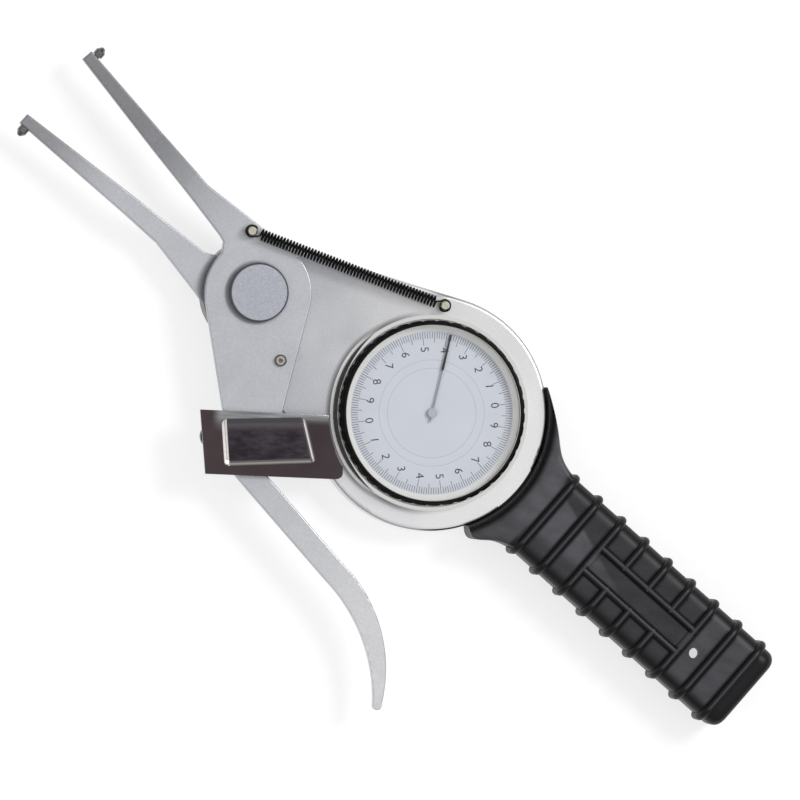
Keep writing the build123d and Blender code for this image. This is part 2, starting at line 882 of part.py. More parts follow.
# Bridge that carries the rear end of the arbor, with its pillars and screws
with BuildPart() as movement_bridge:
    with BuildSketch(Plane.XY.offset(bridge_z)):
        with BuildLine():
            Polyline(*bridge_pillar_places, (0, -bush_radius), (0, bush_radius), close=True)
        make_face()
        with Locations(*bridge_pillar_places):
            Circle(bridge_pillar_radius)
        Circle(bush_radius + 1.4)
        Circle(bush_radius + fit_clearance, mode=Mode.SUBTRACT)
        with Locations(*bridge_pillar_places):
            Circle(cover_screw_radius + 0.1, mode=Mode.SUBTRACT)
    extrude(amount=bridge_thickness)
movement_bridge.part.label = "movement_bridge"
export_step(movement_bridge.part, "parts/movement_bridge.step")

with BuildPart() as bridge_pillars:
    with BuildSketch(Plane.XY.offset(bridge_z + bridge_thickness)):
        with Locations(*bridge_pillar_places):
            Circle(bridge_pillar_radius)
            Circle(cover_screw_radius + 0.1, mode=Mode.SUBTRACT)
    extrude(amount=wall_z - bridge_z - bridge_thickness)
bridge_pillars.part.label = "bridge_pillars"
export_step(bridge_pillars.part, "parts/bridge_pillars.step")

screw_head_height = 0.9
bridge_screw = slotted_screw(
    cover_screw_radius,
    wall_z - bridge_z + screw_head_height + 1.5,
    cover_screw_head_radius,
    screw_head_height,
    screw_head_height - 0.06,
)
with BuildPart() as bridge_screws:
    head_z = bridge_z - screw_head_height
    with Locations(*[Location((x, y, head_z), (180, 0, 0)) for x, y in bridge_pillar_places]):
        add(bridge_screw)
bridge_screws.part.label = "bridge_screws"
export_step(bridge_screws.part, "parts/bridge_screws.step")

# Stud and flat spiral hairspring that takes up the play of the gears
hairspring_z = sector_top_z + 0.9
with BuildPart() as hairspring_stud:
    with BuildSketch(Plane.XY.offset(hairspring_z - 0.3)):
        with Locations(stud_place):
            Circle(stud_radius)
    extrude(amount=wall_z - hairspring_z + 2.0)
hairspring_stud.part.label = "hairspring_stud"
export_step(hairspring_stud.part, "parts/hairspring_stud.step")

with BuildPart() as hairspring:
    with BuildSketch(Plane.XY.offset(hairspring_z)) as spiral_band:
        stud_angle = degrees(atan2(stud_place[1], stud_place[0]))
        inner_end = collet_radius + 0.2
        outer_end = hypot(*stud_place) - stud_radius - 0.2
        half_turns = 2 * hairspring_turns
        growth = (outer_end - inner_end) / half_turns
        with BuildLine() as spiral:
            side = 1
            start = polar(inner_end, stud_angle)
            for half in range(half_turns):
                near = inner_end + growth * half
                far = near + growth
                middle_x = (near - far) / 2 * side
                centre = polar(middle_x, stud_angle)
                end = polar(-side * far, stud_angle)
                top = polar((near + far) / 2, stud_angle + 90 * (2 - side), centre)
                ThreePointArc(start, top, end)
                start = end
                side = -side
        trace(line_width=hairspring_thickness)
    extrude(amount=hairspring_height)
hairspring.part.label = "hairspring"
export_step(hairspring.part, "parts/hairspring.step")

# Swinging arm: hub, lever with its curved trigger, and the leg that steps down
hub_edge_right = polar(arm_hub_radius, 50.5)
hub_edge_left = polar(arm_hub_radius, 205.3)
lower_bend = (trigger_bend[0], trigger_bend[1] - trigger_width)
lower_middle = (trigger_middle[0], trigger_middle[1] - trigger_width)
lower_tip = (trigger_tip[0] - 1.8, trigger_tip[1] - 2.3)
tip_end = (trigger_tip[0] - 1.9, trigger_tip[1] - 0.2)
lever_slope = (lever_top[1] - trigger_bend[1]) / (lever_top[0] - trigger_bend[0])
lever_neck = (lever_neck_x, lower_bend[1] + lever_slope * (lever_neck_x - lower_bend[0]))
with BuildPart() as measuring_arm:
    with BuildSketch(at_pivot(leg_z)):
        Circle(arm_hub_radius)
        with BuildLine():
            Line(hub_edge_left, hub_edge_right)
            Line(hub_edge_right, lever_top)
            Line(lever_top, trigger_bend)
            ThreePointArc(trigger_bend, trigger_middle, trigger_tip)
            ThreePointArc(trigger_tip, tip_end, lower_tip)
            ThreePointArc(lower_tip, lower_middle, lower_bend)
            Line(lower_bend, lever_neck)
            Line(lever_neck, hub_edge_left)
        make_face()
        with BuildLine():
            Polyline(
                (16.4, -0.6),
                (19.1, -4.8),
                (21.1, -5.5),
                (33.1, -7.8),
                (leg_reach - contact_offset + 0.5, arm_seat_y + leg_tip_width + 0.2),
                (leg_reach - contact_offset, arm_seat_y + 0.2),
                (34.6, -14.9),
                polar(arm_hub_radius, 274.1),
                (0.0, 0.0),
                close=True,
            )
        make_face()
    extrude(amount=arm_top_z - leg_z)
    with BuildSketch(Plane(origin=(pivot_x, pivot_y, 0), x_dir=(1, 0, 0), z_dir=(0, -1, 0))):
        with BuildLine():
            Polyline(
                (-1.5 * pivot_distance - arm_hub_radius, arm_z),
                (arm_joggle, arm_z),
                (arm_joggle + 1.5 * joggle_length, leg_z),
                (leg_reach, leg_z),
                (leg_reach, leg_z + leg_thickness),
                (arm_joggle + 1.5 * joggle_length + 2.0, leg_z + leg_thickness),
                (arm_joggle + 2.0, arm_top_z),
                (-1.5 * pivot_distance - arm_hub_radius, arm_top_z),
                close=True,
            )
        make_face()
    extrude(amount=2 * pivot_distance, both=True, mode=Mode.INTERSECT)
    fillet(upper_rim(measuring_arm), edge_round)
    with Locations((pivot_x, pivot_y, arm_z)):
        Cylinder(
            axle_radius + axle_clearance,
            arm_thickness,
            align=(Align.CENTER, Align.CENTER, Align.MIN),
            mode=Mode.SUBTRACT,
        )
    drive_x, drive_y = polar(drive_radius, drive_angle, pivot)
    with Locations((drive_x, drive_y, arm_z)):
        Cylinder(
            drive_shank_radius + fit_clearance,
            arm_thickness,
            align=(Align.CENTER, Align.CENTER, Align.MIN),
            mode=Mode.SUBTRACT,
        )
    with Locations((arm_post_x, arm_post_y, arm_z)):
        Cylinder(
            post_neck_radius - 0.4 + fit_clearance,
            arm_thickness,
            align=(Align.CENTER, Align.CENTER, Align.MIN),
            mode=Mode.SUBTRACT,
        )
    contact_hole = (pivot_x + arm_contact_x, pivot_y + arm_seat_y, leg_mid_z)
    with Locations(Location(contact_hole, (90, 0, 0))):
        Cylinder(
            contact_shank_radius + fit_clearance,
            2 * contact_shank_length,
            mode=Mode.SUBTRACT,
        )
measuring_arm.part.label = "measuring_arm"
export_step(measuring_arm.part, "parts/measuring_arm.step")

# Moving contact, pressed into the end of the arm's leg
with BuildPart() as arm_contact:
    place = (pivot_x + arm_contact_x, pivot_y + arm_seat_y, leg_mid_z)
    with Locations(Location(place, (90, 0, 0))):
        add(make_contact())
arm_contact.part.label = "arm_contact"
export_step(arm_contact.part, "parts/arm_contact.step")

# Post on the arm that holds the moving end of the return spring
with BuildPart() as spring_post_arm:
    with Locations((arm_post_x, arm_post_y, arm_post_z)):
        add(make_post(arm_post_z - neck_half - arm_top_z, arm_thickness - 0.3))
spring_post_arm.part.label = "spring_post_arm"
export_step(spring_post_arm.part, "parts/spring_post_arm.step")

# Screw that ties the sector to the arm through the slot in the case
drive_screw_top = arm_top_z + drive_head_height
with BuildPart() as drive_screw:
    with Locations((drive_x, drive_y, drive_screw_top)):
        add(
            slotted_screw(
                drive_shank_radius,
                drive_screw_top - sector_z,
                drive_head_radius,
                drive_head_height,
                drive_head_height - 0.06,
            )
        )
drive_screw.part.label = "drive_screw"
export_step(drive_screw.part, "parts/drive_screw.step")

# Toothed sector under the case front, turning with the arm
root_radius = sector_pitch_radius - 1.2 * gear_module
tip_radius = sector_pitch_radius + 0.75 * gear_module
mesh_angle = pivot_angle + 180
tooth_step = 360 / sector_circle_teeth
spare_teeth = 2
tooth_count = ceil(arm_swing / tooth_step) + 2 * spare_teeth
last_tooth_angle = mesh_angle + spare_teeth * tooth_step
first_tooth_angle = last_tooth_angle - (tooth_count - 1) * tooth_step
half_tooth = (gear_module * pi / 2 - backlash) / 2
flank_lean = sin(radians(pressure_angle)) / cos(radians(pressure_angle))
with BuildPart() as sector_gear:
    with BuildSketch(at_pivot(sector_z)):
        rim_start = first_tooth_angle - tooth_step
        rim_end = last_tooth_angle + tooth_step
        add(arc_band(root_radius - sector_rim / 2, sector_rim / 2 - 0.01, rim_start, rim_end))
        with BuildLine():
            Polyline(
                (0, 0),
                polar(root_radius, rim_start),
                polar(root_radius, rim_end),
                close=True,
            )
        make_face()
        # The sketch keeps a curved rim because the straight chord lies inside it
        with BuildLine():
            window = root_radius - sector_rim - 2.5
            inner = 0.42 * window
            lean_outer = degrees(sector_spoke / window)
            lean_inner = degrees(sector_spoke / inner)
            Polyline(
                polar(inner, rim_start + lean_inner),
                polar(window, rim_start + lean_outer),
                polar(window, rim_end - lean_outer),
                polar(inner, rim_end - lean_inner),
                close=True,
            )
        make_face(mode=Mode.SUBTRACT)
        Circle(sector_hub_radius)
        with BuildLine():
            Polyline(
                polar(sector_hub_radius, drive_angle - 40),
                polar(drive_radius, drive_angle - 6),
                polar(drive_radius, drive_angle + 6),
                polar(sector_hub_radius, drive_angle + 40),
                close=True,
            )
        make_face()
        with Locations(polar(drive_radius, drive_angle)):
            Circle(drive_shank_radius + 1.3)
        for tooth in range(tooth_count):
            angle = first_tooth_angle + tooth * tooth_step
            corners = []
            for radius, sign in (
                (root_radius - 0.2, -1),
                (tip_radius, -1),
                (tip_radius, 1),
                (root_radius - 0.2, 1),
            ):
                half_width = half_tooth - (radius - sector_pitch_radius) * flank_lean
                corners.append(polar(radius, angle + sign * degrees(half_width / radius)))
            with BuildLine():
                Polyline(*corners, close=True)
            make_face()
        Circle(axle_radius + axle_clearance, mode=Mode.SUBTRACT)
        with Locations(polar(drive_radius, drive_angle)):
            Circle(drive_shank_radius + fit_clearance, mode=Mode.SUBTRACT)
    extrude(amount=sector_thickness)
sector_gear.part.label = "sector_gear"
export_step(sector_gear.part, "parts/sector_gear.step")


def involute_angle(radius, base_radius):
    """Polar angle in degrees that an involute has turned when it reaches a radius."""
    roll = sqrt((radius / base_radius) ** 2 - 1)
    return degrees(roll) - degrees(atan2(roll, 1))


# Arbor of the pointer, with its pinion and the collet of the hairspring
pointer_z = face_z + 2.0 + dial_thickness + pointer_gap
base_radius = pinion_pitch_radius * cos(radians(pressure_angle))
pinion_root = pinion_pitch_radius - 1.1 * gear_module
pinion_tip = pinion_pitch_radius + gear_module
half_tooth_angle = degrees(half_tooth / pinion_pitch_radius)
pitch_turn = involute_angle(pinion_pitch_radius, base_radius)
with BuildPart() as pointer_arbor:
    with BuildSketch(Plane.XY.offset(bridge_z)):
        Circle(arbor_radius)
    extrude(amount=pointer_z + pointer_thickness - bridge_z)
    with BuildSketch(Plane.XY.offset(sector_z - 0.2)):
        with BuildLine():
            corners = []
            for tooth in range(pinion_teeth):
                middle = pivot_angle + (tooth + 0.5) * 360 / pinion_teeth
                flank = [(pinion_root, half_tooth_angle + pitch_turn)]
                for step in range(4):
                    radius = base_radius + (pinion_tip - base_radius) * step / 3
                    turn = half_tooth_angle + pitch_turn - involute_angle(radius, base_radius)
                    flank.append((radius, turn))
                corners += [polar(radius, middle - turn) for radius, turn in flank]
                corners += [polar(radius, middle + turn) for radius, turn in reversed(flank)]
            Polyline(*corners, close=True)
        make_face()
    extrude(amount=sector_thickness + 0.4)
    with BuildSketch(Plane.XY.offset(hairspring_z - 0.3)):
        Circle(collet_radius)
    extrude(amount=hairspring_height + 0.6)
pointer_arbor.part.label = "pointer_arbor"
export_step(pointer_arbor.part, "parts/pointer_arbor.step")

# Pointer, a thin stem with a wider blade on its outer part
with BuildPart() as pointer:
    with BuildSketch(Plane(origin=(0, 0, pointer_z)).rotated((0, 0, pointer_angle))):
        with BuildLine():
            one_side = [
                (-pointer_tail, pointer_stem_width / 2),
                (pointer_blade_start, pointer_stem_width / 2),
                (pointer_blade_start + 0.5, pointer_blade_width / 2),
                (pointer_length, pointer_tip_width / 2),
            ]
            Polyline(*one_side, *[(x, -y) for x, y in reversed(one_side)], close=True)
        make_face()
        Circle(pointer_hub_radius)
    extrude(amount=pointer_thickness)
    with BuildSketch(Plane.XY.offset(pointer_z)):
        Circle(arbor_radius + 0.6)
    extrude(amount=pointer_hub_height)
    with BuildSketch(Plane.XY.offset(pointer_z)):
        Circle(arbor_radius + fit_clearance)
    extrude(amount=pointer_thickness, mode=Mode.SUBTRACT)
pointer.part.label = "pointer"
export_step(pointer.part, "parts/pointer.step")

# Bezel ring with its finger scallops
bezel_z = face_z + bezel_gap
bezel_top_z = bezel_z + bezel_height
lip_z = bezel_top_z - bezel_lip_height
bore_radius = bezel_radius - bezel_wall
with BuildPart() as bezel_ring:
    with BuildSketch(Plane.XZ):
        with BuildLine():
            Polyline(
                (bore_radius, bezel_z),
                (bezel_radius, bezel_z),
                (bezel_radius, bezel_top_z - 0.8),
                (bezel_radius - 0.8, bezel_top_z),
                (bezel_lip_radius, bezel_top_z),
                (bezel_lip_radius, lip_z),
                (bore_radius, lip_z),
                close=True,
            )
        make_face()
    revolve(axis=Axis.Z)
    with BuildSketch(Plane.XY.offset(bezel_z)):
        with PolarLocations(bezel_radius + scallop_radius - scallop_depth, scallops):
            Circle(scallop_radius)
    extrude(amount=bezel_height, mode=Mode.SUBTRACT)
bezel_ring.part.label = "bezel_ring"
export_step(bezel_ring.part, "parts/bezel_ring.step")

# What the bezel holds, from the crystal down to the clamp ring
inside_radius = bore_radius - fit_clearance
with BuildPart() as crystal_gasket:
    with BuildSketch(Plane.XY.offset(lip_z - gasket_thickness)):
        Circle(inside_radius)
        Circle(bezel_lip_radius + 0.1, mode=Mode.SUBTRACT)
    extrude(amount=gasket_thickness)
crystal_gasket.part.label = "crystal_gasket"
export_step(crystal_gasket.part, "parts/crystal_gasket.step")

crystal_z = lip_z - gasket_thickness - crystal_thickness
with BuildPart() as crystal:
    with BuildSketch(Plane.XY.offset(crystal_z)):
        Circle(inside_radius)
    extrude(amount=crystal_thickness)
    with BuildSketch(Plane.XY.offset(crystal_z + crystal_thickness)):
        Circle(bezel_lip_radius - 0.1)
    extrude(amount=gasket_thickness + 0.5 * bezel_lip_height)
crystal.part.label = "crystal"
export_step(crystal.part, "parts/crystal.step")

flange_z = crystal_z - flange_height
with BuildPart() as dial_flange:
    with BuildSketch(Plane.XZ):
        with BuildLine():
            Polyline(
                (flange_inner_radius, flange_z),
                (inside_radius, flange_z),
                (inside_radius, crystal_z),
                (bezel_lip_radius, crystal_z),
                (flange_inner_radius, flange_z + 0.25),
                close=True,
            )
        make_face()
    revolve(axis=Axis.Z)
dial_flange.part.label = "dial_flange"
export_step(dial_flange.part, "parts/dial_flange.step")

dial_z = flange_z - dial_thickness
with BuildPart() as dial_face:
    with BuildSketch(Plane.XY.offset(dial_z)):
        Circle(inside_radius)
        Circle(dial_hole_radius, mode=Mode.SUBTRACT)
    extrude(amount=dial_thickness)
dial_face.part.label = "dial_face"
export_step(dial_face.part, "parts/dial_face.step")

wire_z = face_z + seat_height / 2
with BuildPart() as dial_clamp_ring:
    with BuildSketch(Plane.XY.offset(dial_z - clamp_height)):
        Circle(inside_radius)
        Circle(seat_radius + ring_clearance, mode=Mode.SUBTRACT)
    extrude(amount=clamp_height)
    with BuildSketch(Plane.XZ):
        with Locations((seat_radius, wire_z)):
            Circle(retainer_wire_radius + ring_clearance)
    revolve(axis=Axis.Z, mode=Mode.SUBTRACT)
dial_clamp_ring.part.label = "dial_clamp_ring"
export_step(dial_clamp_ring.part, "parts/dial_clamp_ring.step")

# Spring wire in the groove of the seat, over which the bezel turns
with BuildPart() as bezel_retainer:
    with BuildSketch(Plane.XZ):
        with Locations((seat_radius, wire_z)):
            Circle(retainer_wire_radius)
    revolve(axis=Axis.Z)
bezel_retainer.part.label = "bezel_retainer"
export_step(bezel_retainer.part, "parts/bezel_retainer.step")

# Return spring: its hook rings lie level, its coil runs on the line of the posts
frame_end = Vector(frame_post_x, frame_post_y, frame_post_z)
arm_end = Vector(arm_post_x, arm_post_y, arm_post_z)
along = (arm_end - frame_end).normalized()
level = Vector(along.X, along.Y, 0).normalized()
across = Vector(0, 0, 1).cross(level)
upward = along.cross(across)
coil_length = (arm_end - frame_end).length - 2 * spring_lead
coil_turns = round(coil_length / spring_pitch)
coil_pitch = coil_length / coil_turns


def on_ring(centre, angle, turning):
    """Place and heading on a level hook ring, turning by +1 or -1."""
    a = radians(angle)
    outward = level * cos(a) + across * sin(a)
    heading = (across * cos(a) - level * sin(a)) * turning
    return (centre + outward * hook_radius, heading)


def on_coil(turns):
    """Place and heading on the coil after a number of turns from its bottom."""
    a = radians(360 * turns - 90)
    centre = frame_end + along * (spring_lead + coil_pitch * turns)
    place = centre + (across * cos(a) + upward * sin(a)) * spring_radius
    heading = along * (coil_pitch / (2 * pi)) + (upward * cos(a) - across * sin(a)) * spring_radius
    return (place, heading.normalized())


def biarc_joint(start, start_heading, end, end_heading):
    """The point where two arcs that keep both end headings meet."""
    chord = end - start
    both = start_heading + end_heading
    a = 2 * (1 - start_heading.dot(end_heading))
    b = 2 * chord.dot(both)
    c = -chord.dot(chord)
    if a < 1e-9:
        reach = -c / b
    else:
        reach = (-b + sqrt(b * b - 4 * a * c)) / (2 * a)
    return (start + start_heading * reach + end - end_heading * reach) * 0.5


stations = [on_ring(frame_end, angle, 1) for angle in (50, 140, 230, 310)]
stations += [on_coil(half / 2) for half in range(2 * coil_turns + 1)]
stations += [on_ring(arm_end, angle, -1) for angle in (130, 50, -40, -130)]
with BuildLine() as spring_path:
    first, heading = stations[0]
    Line(first - heading * spring_wire, first)
    for (start, start_heading), (end, end_heading) in zip(stations, stations[1:]):
        middle = biarc_joint(start, start_heading, end, end_heading)
        arc = TangentArc(start, middle, tangent=start_heading)
        TangentArc(middle, end, tangent=arc % 1)
    last, heading = stations[-1]
    Line(last, last + heading * spring_wire)

with BuildPart() as return_spring:
    add(spring_path.line)
    with BuildSketch(Plane(origin=spring_path.line @ 0, z_dir=spring_path.line % 0)):
        Circle(spring_wire / 2)
    sweep(path=spring_path.line)
return_spring.part.label = "return_spring"
export_step(return_spring.part, "parts/return_spring.step")

# Least gap of the spring to itself, measured on points along its line
spring_line = spring_path.wire()
line_length = spring_line.length
sample_count = 3000
line_points = [spring_line @ (i / sample_count) for i in range(sample_count + 1)]
half_turn_steps = int(sample_count * pi * spring_radius / line_length)
least = min(
    (line_points[i] - line_points[j]).length
    for i in range(sample_count + 1)
    for j in range(i + half_turn_steps, min(i + 5 * half_turn_steps, sample_count + 1))
)
swept_volume = pi * spring_wire**2 / 4 * line_length
print(f"spring: {coil_turns} curls, gap to itself {least - spring_wire:.2f} mm")
print(f"spring: volume over section times length {return_spring.part.volume / swept_volume:.4f}")
print(f"arm swing {arm_swing:.3f}, gear ratio {gear_ratio:.3f}, module {gear_module:.4f}")
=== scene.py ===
"""Inside dial caliper: looks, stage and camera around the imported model.

Each operator dresses one group of pieces, and the panel in the sidebar lists them.
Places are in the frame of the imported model. Lengths are in metres, but in mm where a
comment or the function that takes them says so.
"""

import math

import bpy
from bpy.props import FloatProperty, FloatVectorProperty, IntProperty, PointerProperty
from bpy.types import Operator, Panel, PropertyGroup
from mathutils import Matrix, Vector


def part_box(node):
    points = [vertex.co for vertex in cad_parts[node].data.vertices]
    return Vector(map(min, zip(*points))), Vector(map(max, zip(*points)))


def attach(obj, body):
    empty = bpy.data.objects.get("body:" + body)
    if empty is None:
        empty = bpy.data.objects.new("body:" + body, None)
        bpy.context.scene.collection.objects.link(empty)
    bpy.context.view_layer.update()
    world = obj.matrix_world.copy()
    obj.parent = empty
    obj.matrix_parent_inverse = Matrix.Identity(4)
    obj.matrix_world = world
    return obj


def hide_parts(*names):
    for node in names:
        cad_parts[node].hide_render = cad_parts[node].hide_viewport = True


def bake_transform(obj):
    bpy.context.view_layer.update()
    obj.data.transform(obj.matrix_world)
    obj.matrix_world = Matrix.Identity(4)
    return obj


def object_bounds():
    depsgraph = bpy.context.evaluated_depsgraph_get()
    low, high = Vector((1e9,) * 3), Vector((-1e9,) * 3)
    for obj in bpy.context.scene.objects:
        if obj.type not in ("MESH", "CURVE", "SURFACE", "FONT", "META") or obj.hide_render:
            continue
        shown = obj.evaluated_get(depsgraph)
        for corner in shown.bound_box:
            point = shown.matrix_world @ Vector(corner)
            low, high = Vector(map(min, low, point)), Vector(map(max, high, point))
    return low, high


bl_info = {
    "name": "Inside Dial Caliper",
    "version": (1, 0, 0),
    "blender": (4, 5, 0),
    "location": "3D View > Sidebar > Caliper",
    "description": "Dresses the inside dial caliper and sets its stage",
    "category": "Object",
}

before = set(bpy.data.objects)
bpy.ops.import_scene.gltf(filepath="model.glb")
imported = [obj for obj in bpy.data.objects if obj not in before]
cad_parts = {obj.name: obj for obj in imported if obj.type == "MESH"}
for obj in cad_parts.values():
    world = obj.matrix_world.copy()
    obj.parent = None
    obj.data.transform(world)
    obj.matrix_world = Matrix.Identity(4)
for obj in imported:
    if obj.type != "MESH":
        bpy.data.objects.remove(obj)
CAD_LOW, CAD_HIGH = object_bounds()
MM = 0.001
WHITE = (1.0, 1.0, 1.0)

# Directions of the photograph, in the frame of the model
PHOTO_RIGHT = Vector((-0.749, -0.663, 0.0))
PHOTO_UP = Vector((0.663, -0.749, 0.0))

# Places in the frame of the model, most of them as (x, y)
PIVOT = (67.4 * MM, 8.3 * MM)
HUB_SHADE = (68.9 * MM, 9.6 * MM)
CAP_SHADE = (67.9 * MM, 8.8 * MM)
DRIVE_SCREW = (47.78 * MM, 19.91 * MM)
BRACKET_END = (47.6 * MM, 52.0 * MM)
PLATE_CORNER = (56.9 * MM, 48.8 * MM)
SHEEN_START = (-52 * MM, -7.2 * MM)
SHUTTER = (46.0 * MM, 14.8 * MM, 12.17 * MM)

# Level directions of the bracket, the plate and the edge of the sheen on the handle
BRACKET_WAY = (0.695, 0.719)
PLATE_LENGTHWISE = (-0.778, -0.629)
PLATE_INWARDS = (-0.629, 0.778)
SHEEN_WAY = (0.325, 0.946)

# Each contact's body, its place in mm and its turn about X in degrees
CONTACTS = {
    "fixed_contact": ("frame", (157.8, 18.4, 12.1), -90),
    "arm_contact": ("arm", (155.8, -14.0, 12.1), 90),
}
CONTACT_SHANK = 2.4 * MM
# Rings that draw a contact out from its shank: rise in mm, and width beside the last
CONTACT_RINGS = ((0, 1.65), (1.8, 1), (1.3, 0.42), (0.12, 0.82), (0.07, 0.5))

# Printing on the dial: how far it stands up, the pale rings, and a figure's share of its size
INK_RISE = 0.012 * MM
RING_RISE = 0.008 * MM
RING_WIDTH = 0.13 * MM
RING_RADII = (17.1 * MM, 14.4 * MM)
FIGURE_SHARE = 0.66

# Points of the hook rings in degrees, and how far curve handles reach beside the radius
FRAME_HOOK = (40, 115, 195, 270, 320)
ARM_HOOK = (130, 60, -15, -90, -140)
HOOK_HANDLE = 0.55
COIL_HANDLE = 0.552

# Outline of the plate in mm, and the arc along the dial that closes it, in mm and degrees
PLATE_OUTLINE = ((8.9, 34.0), (8.6, 35.0), (9.0, 36.1), (9.8, 36.9), (42.1, 63.1), (56.9, 48.8))
ARC_RADIUS, ARC_STEPS = 33.8, 24
ARC_START, ARC_SWEEP = 42.72, 29.37
# Corners of the plate's panel in mm: outer end, trigger side, dial end, pivot side
PANEL_CORNERS = ((49.8, 46.6), (39.1, 57.2), (17.7, 37.0), (29.9, 28.4))
PANEL_ROUNDING = 1.9 * MM
PANEL_DEPTH, POCKET_DEPTH = 0.54 * MM, 0.55 * MM
# Steps of the panel's sloping walls in mm: inwards and down
PANEL_STEPS = ((0.15, 0.02), (0.3, 0.06), (0.35, 0.12), (0.35, 0.13), (0.25, 0.06), (0.1, 0.0))

# Lamps: way to the photograph's right, way up and height in metres, then size and watts
LAMPS = {
    "key_lamp": (0.80, 0.45, 1.05, 0.45, 8.0),
    "fill_lamp": (-0.9, -0.2, 0.9, 0.7, 1.5),
}


def length(name, description, default):
    """A length that a user may change, given in mm."""
    return FloatProperty(
        name=name, description=description, default=default * MM,
        precision=5, subtype="DISTANCE", unit="LENGTH",
    )


def angle(name, description, degrees):
    """An angle that a user may change."""
    return FloatProperty(
        name=name, description=description, default=math.radians(degrees),
        subtype="ANGLE", unit="ROTATION",
    )


def point(name, description, *place):
    """A point that a user may change, given in mm."""
    return FloatVectorProperty(
        name=name, description=description, default=tuple(c * MM for c in place),
        subtype="TRANSLATION", unit="LENGTH",
    )


def paint(red, green, blue):
    """Linear colour of screen values from 0 to 255."""
    shares = [value / 255 for value in (red, green, blue)]
    return tuple(s / 12.92 if s <= 0.04045 else ((s + 0.055) / 1.055) ** 2.4 for s in shares)


def scaled(tint, share):
    """A colour made darker or lighter, at most white."""
    return tuple(min(1.0, c * share) for c in tint)


def colour(name, description, screen):
    """A colour that a user may change, given in screen values from 0 to 255."""
    return FloatVectorProperty(
        name=name, description=description, default=paint(*screen),
        min=0.0, max=1.0, subtype="COLOR",
    )


class MetalSettings(PropertyGroup):
    satin: colour("Satin", "Colour of the case near the pivot", (198, 199, 204))
    # Colour of the turned ring, which also carries painted light that brightens the ring
    turned: colour("Turned", "Colour of the turned ring round the dial", (247, 247, 248))
    arm: colour("Arm", "Colour of the swinging arm", (196, 198, 203))
    trigger: colour("Trigger", "Colour of the trigger's polished end", (224, 224, 226))
    tips: colour("Tips", "Colour of the legs near the contacts", (152, 152, 156))
    cap: colour("Cap", "Colour of the flat cap on the pivot", (178, 181, 190))
    bright: colour("Bright", "Colour of screws and small steel parts", (198, 196, 188))
    post: colour("Post", "Colour of the spring posts", (226, 222, 206))
    grain: length("Grain", "Size of the grain in the satin finish", 0.6)


class DialSettings(PropertyGroup):
    divisions: IntProperty(
        name="Divisions", description="Lines round the dial", default=200, min=20
    )
    figure_steps: IntProperty(
        name="Figures", description="Figures round the dial", default=20, min=2
    )
    zero_angle: angle("Zero", "Angle of the first zero from the X axis", 48.3)
    line_outer: length("Outer end", "Radius where all lines end", 26.0)
    short_inner: length("Short lines", "Inner radius of the short lines", 23.9)
    middle_inner: length("Middle lines", "Inner radius of the lines at the halves", 22.6)
    long_inner: length("Long lines", "Inner radius of the lines at the figures", 21.7)
    line_width: length("Line width", "Width of the printed lines", 0.15)
    figure_radius: length("Figure radius", "Radius of the figures' centres", 20.45)
    figure_height: length("Figure height", "Height of the figures", 2.45)
    ink: colour("Ink", "Colour of the lines and figures", (42, 43, 52))
    pale_ink: colour("Pale ink", "Colour of the thin printed rings", (176, 181, 192))
    face: colour("Face", "Colour of the dial face", (227, 229, 237))
    flange: colour("Flange", "Colour of the sloped ring round the dial", (255, 254, 249))


class SpringSettings(PropertyGroup):
    frame_end: point("Still end", "Middle of the case post's neck", 19.722, -28.429, 15.5)
    arm_end: point("Moving end", "Middle of the arm post's neck", 82.2, -4.702, 18.4)
    wire: length("Wire", "Diameter of the wire", 0.6)
    coil_radius: length("Coil radius", "Radius of the coil at the middle of its wire", 1.68)
    hook_share: FloatProperty(
        name="Hook share", description="Thickness of the hooks' wire beside the coil's", default=0.8
    )
    hook_radius: length("Hook radius", "Radius of the hook rings", 1.85)
    lead: length("Lead", "From a post to the first turn of the coil", 3.1)
    turns: IntProperty(name="Turns", description="Turns of the coil", default=57, min=5)
    turn_lean: angle("Lean of turns", "Lean of each turn towards the post on the arm", 7.5)
    black: colour("Black", "Colour of the blackened wire", (8, 7, 7))


class HandleSettings(PropertyGroup):
    black: colour("Black", "Colour of the moulded handle", (19, 18, 21))
    # Colour of the painted sheen where the handle catches the light
    lighter_grey: colour("Worn", "Colour where the handle catches the light", (92, 91, 96))
    grain: length("Grain", "Size of the moulded grain", 0.5)
    first_rib: length("First rib", "Place of the rib next to the case", -49.0)
    last_rib: length("Last rib", "Place of the rib at the end", -130.0)
    rib_pitch: length("Rib pitch", "From one rib to the next", 10.12)
    ridge_middle: length("Ridge middle", "Y of the line between the ridges", 0.85)
    ridge_reach: length("Ridge reach", "From that line to each ridge", 4.55)


class TrimSettings(PropertyGroup):
    plate: colour("Plate", "Colour of the dark plate", (76, 67, 69))
    panel: colour("Panel", "Colour of the plate's sunk panel", (60, 55, 61))
    bezel: colour("Bezel", "Colour of the black bezel", (13, 12, 12))


class StageSettings(PropertyGroup):
    target: point("Target", "Point that the camera looks at", 10.3, 3.6, 14.0)
    lean: angle("Lean", "Tilt of the camera towards the left of its view", 8.0)
    distance: length("Distance", "From the camera to its target", 2500.0)
    view_width: length("View width", "Width of the view at the target", 256)
    floor: colour("Floor", "Colour of the plain floor", (178, 178, 178))


def arithmetic(operation, swapped=False):
    """A method that adds a maths node for a level and another value."""

    def act(level, other):
        values = (other, level) if swapped else (level, other)
        return level.finish.maths(operation, *values)

    return act


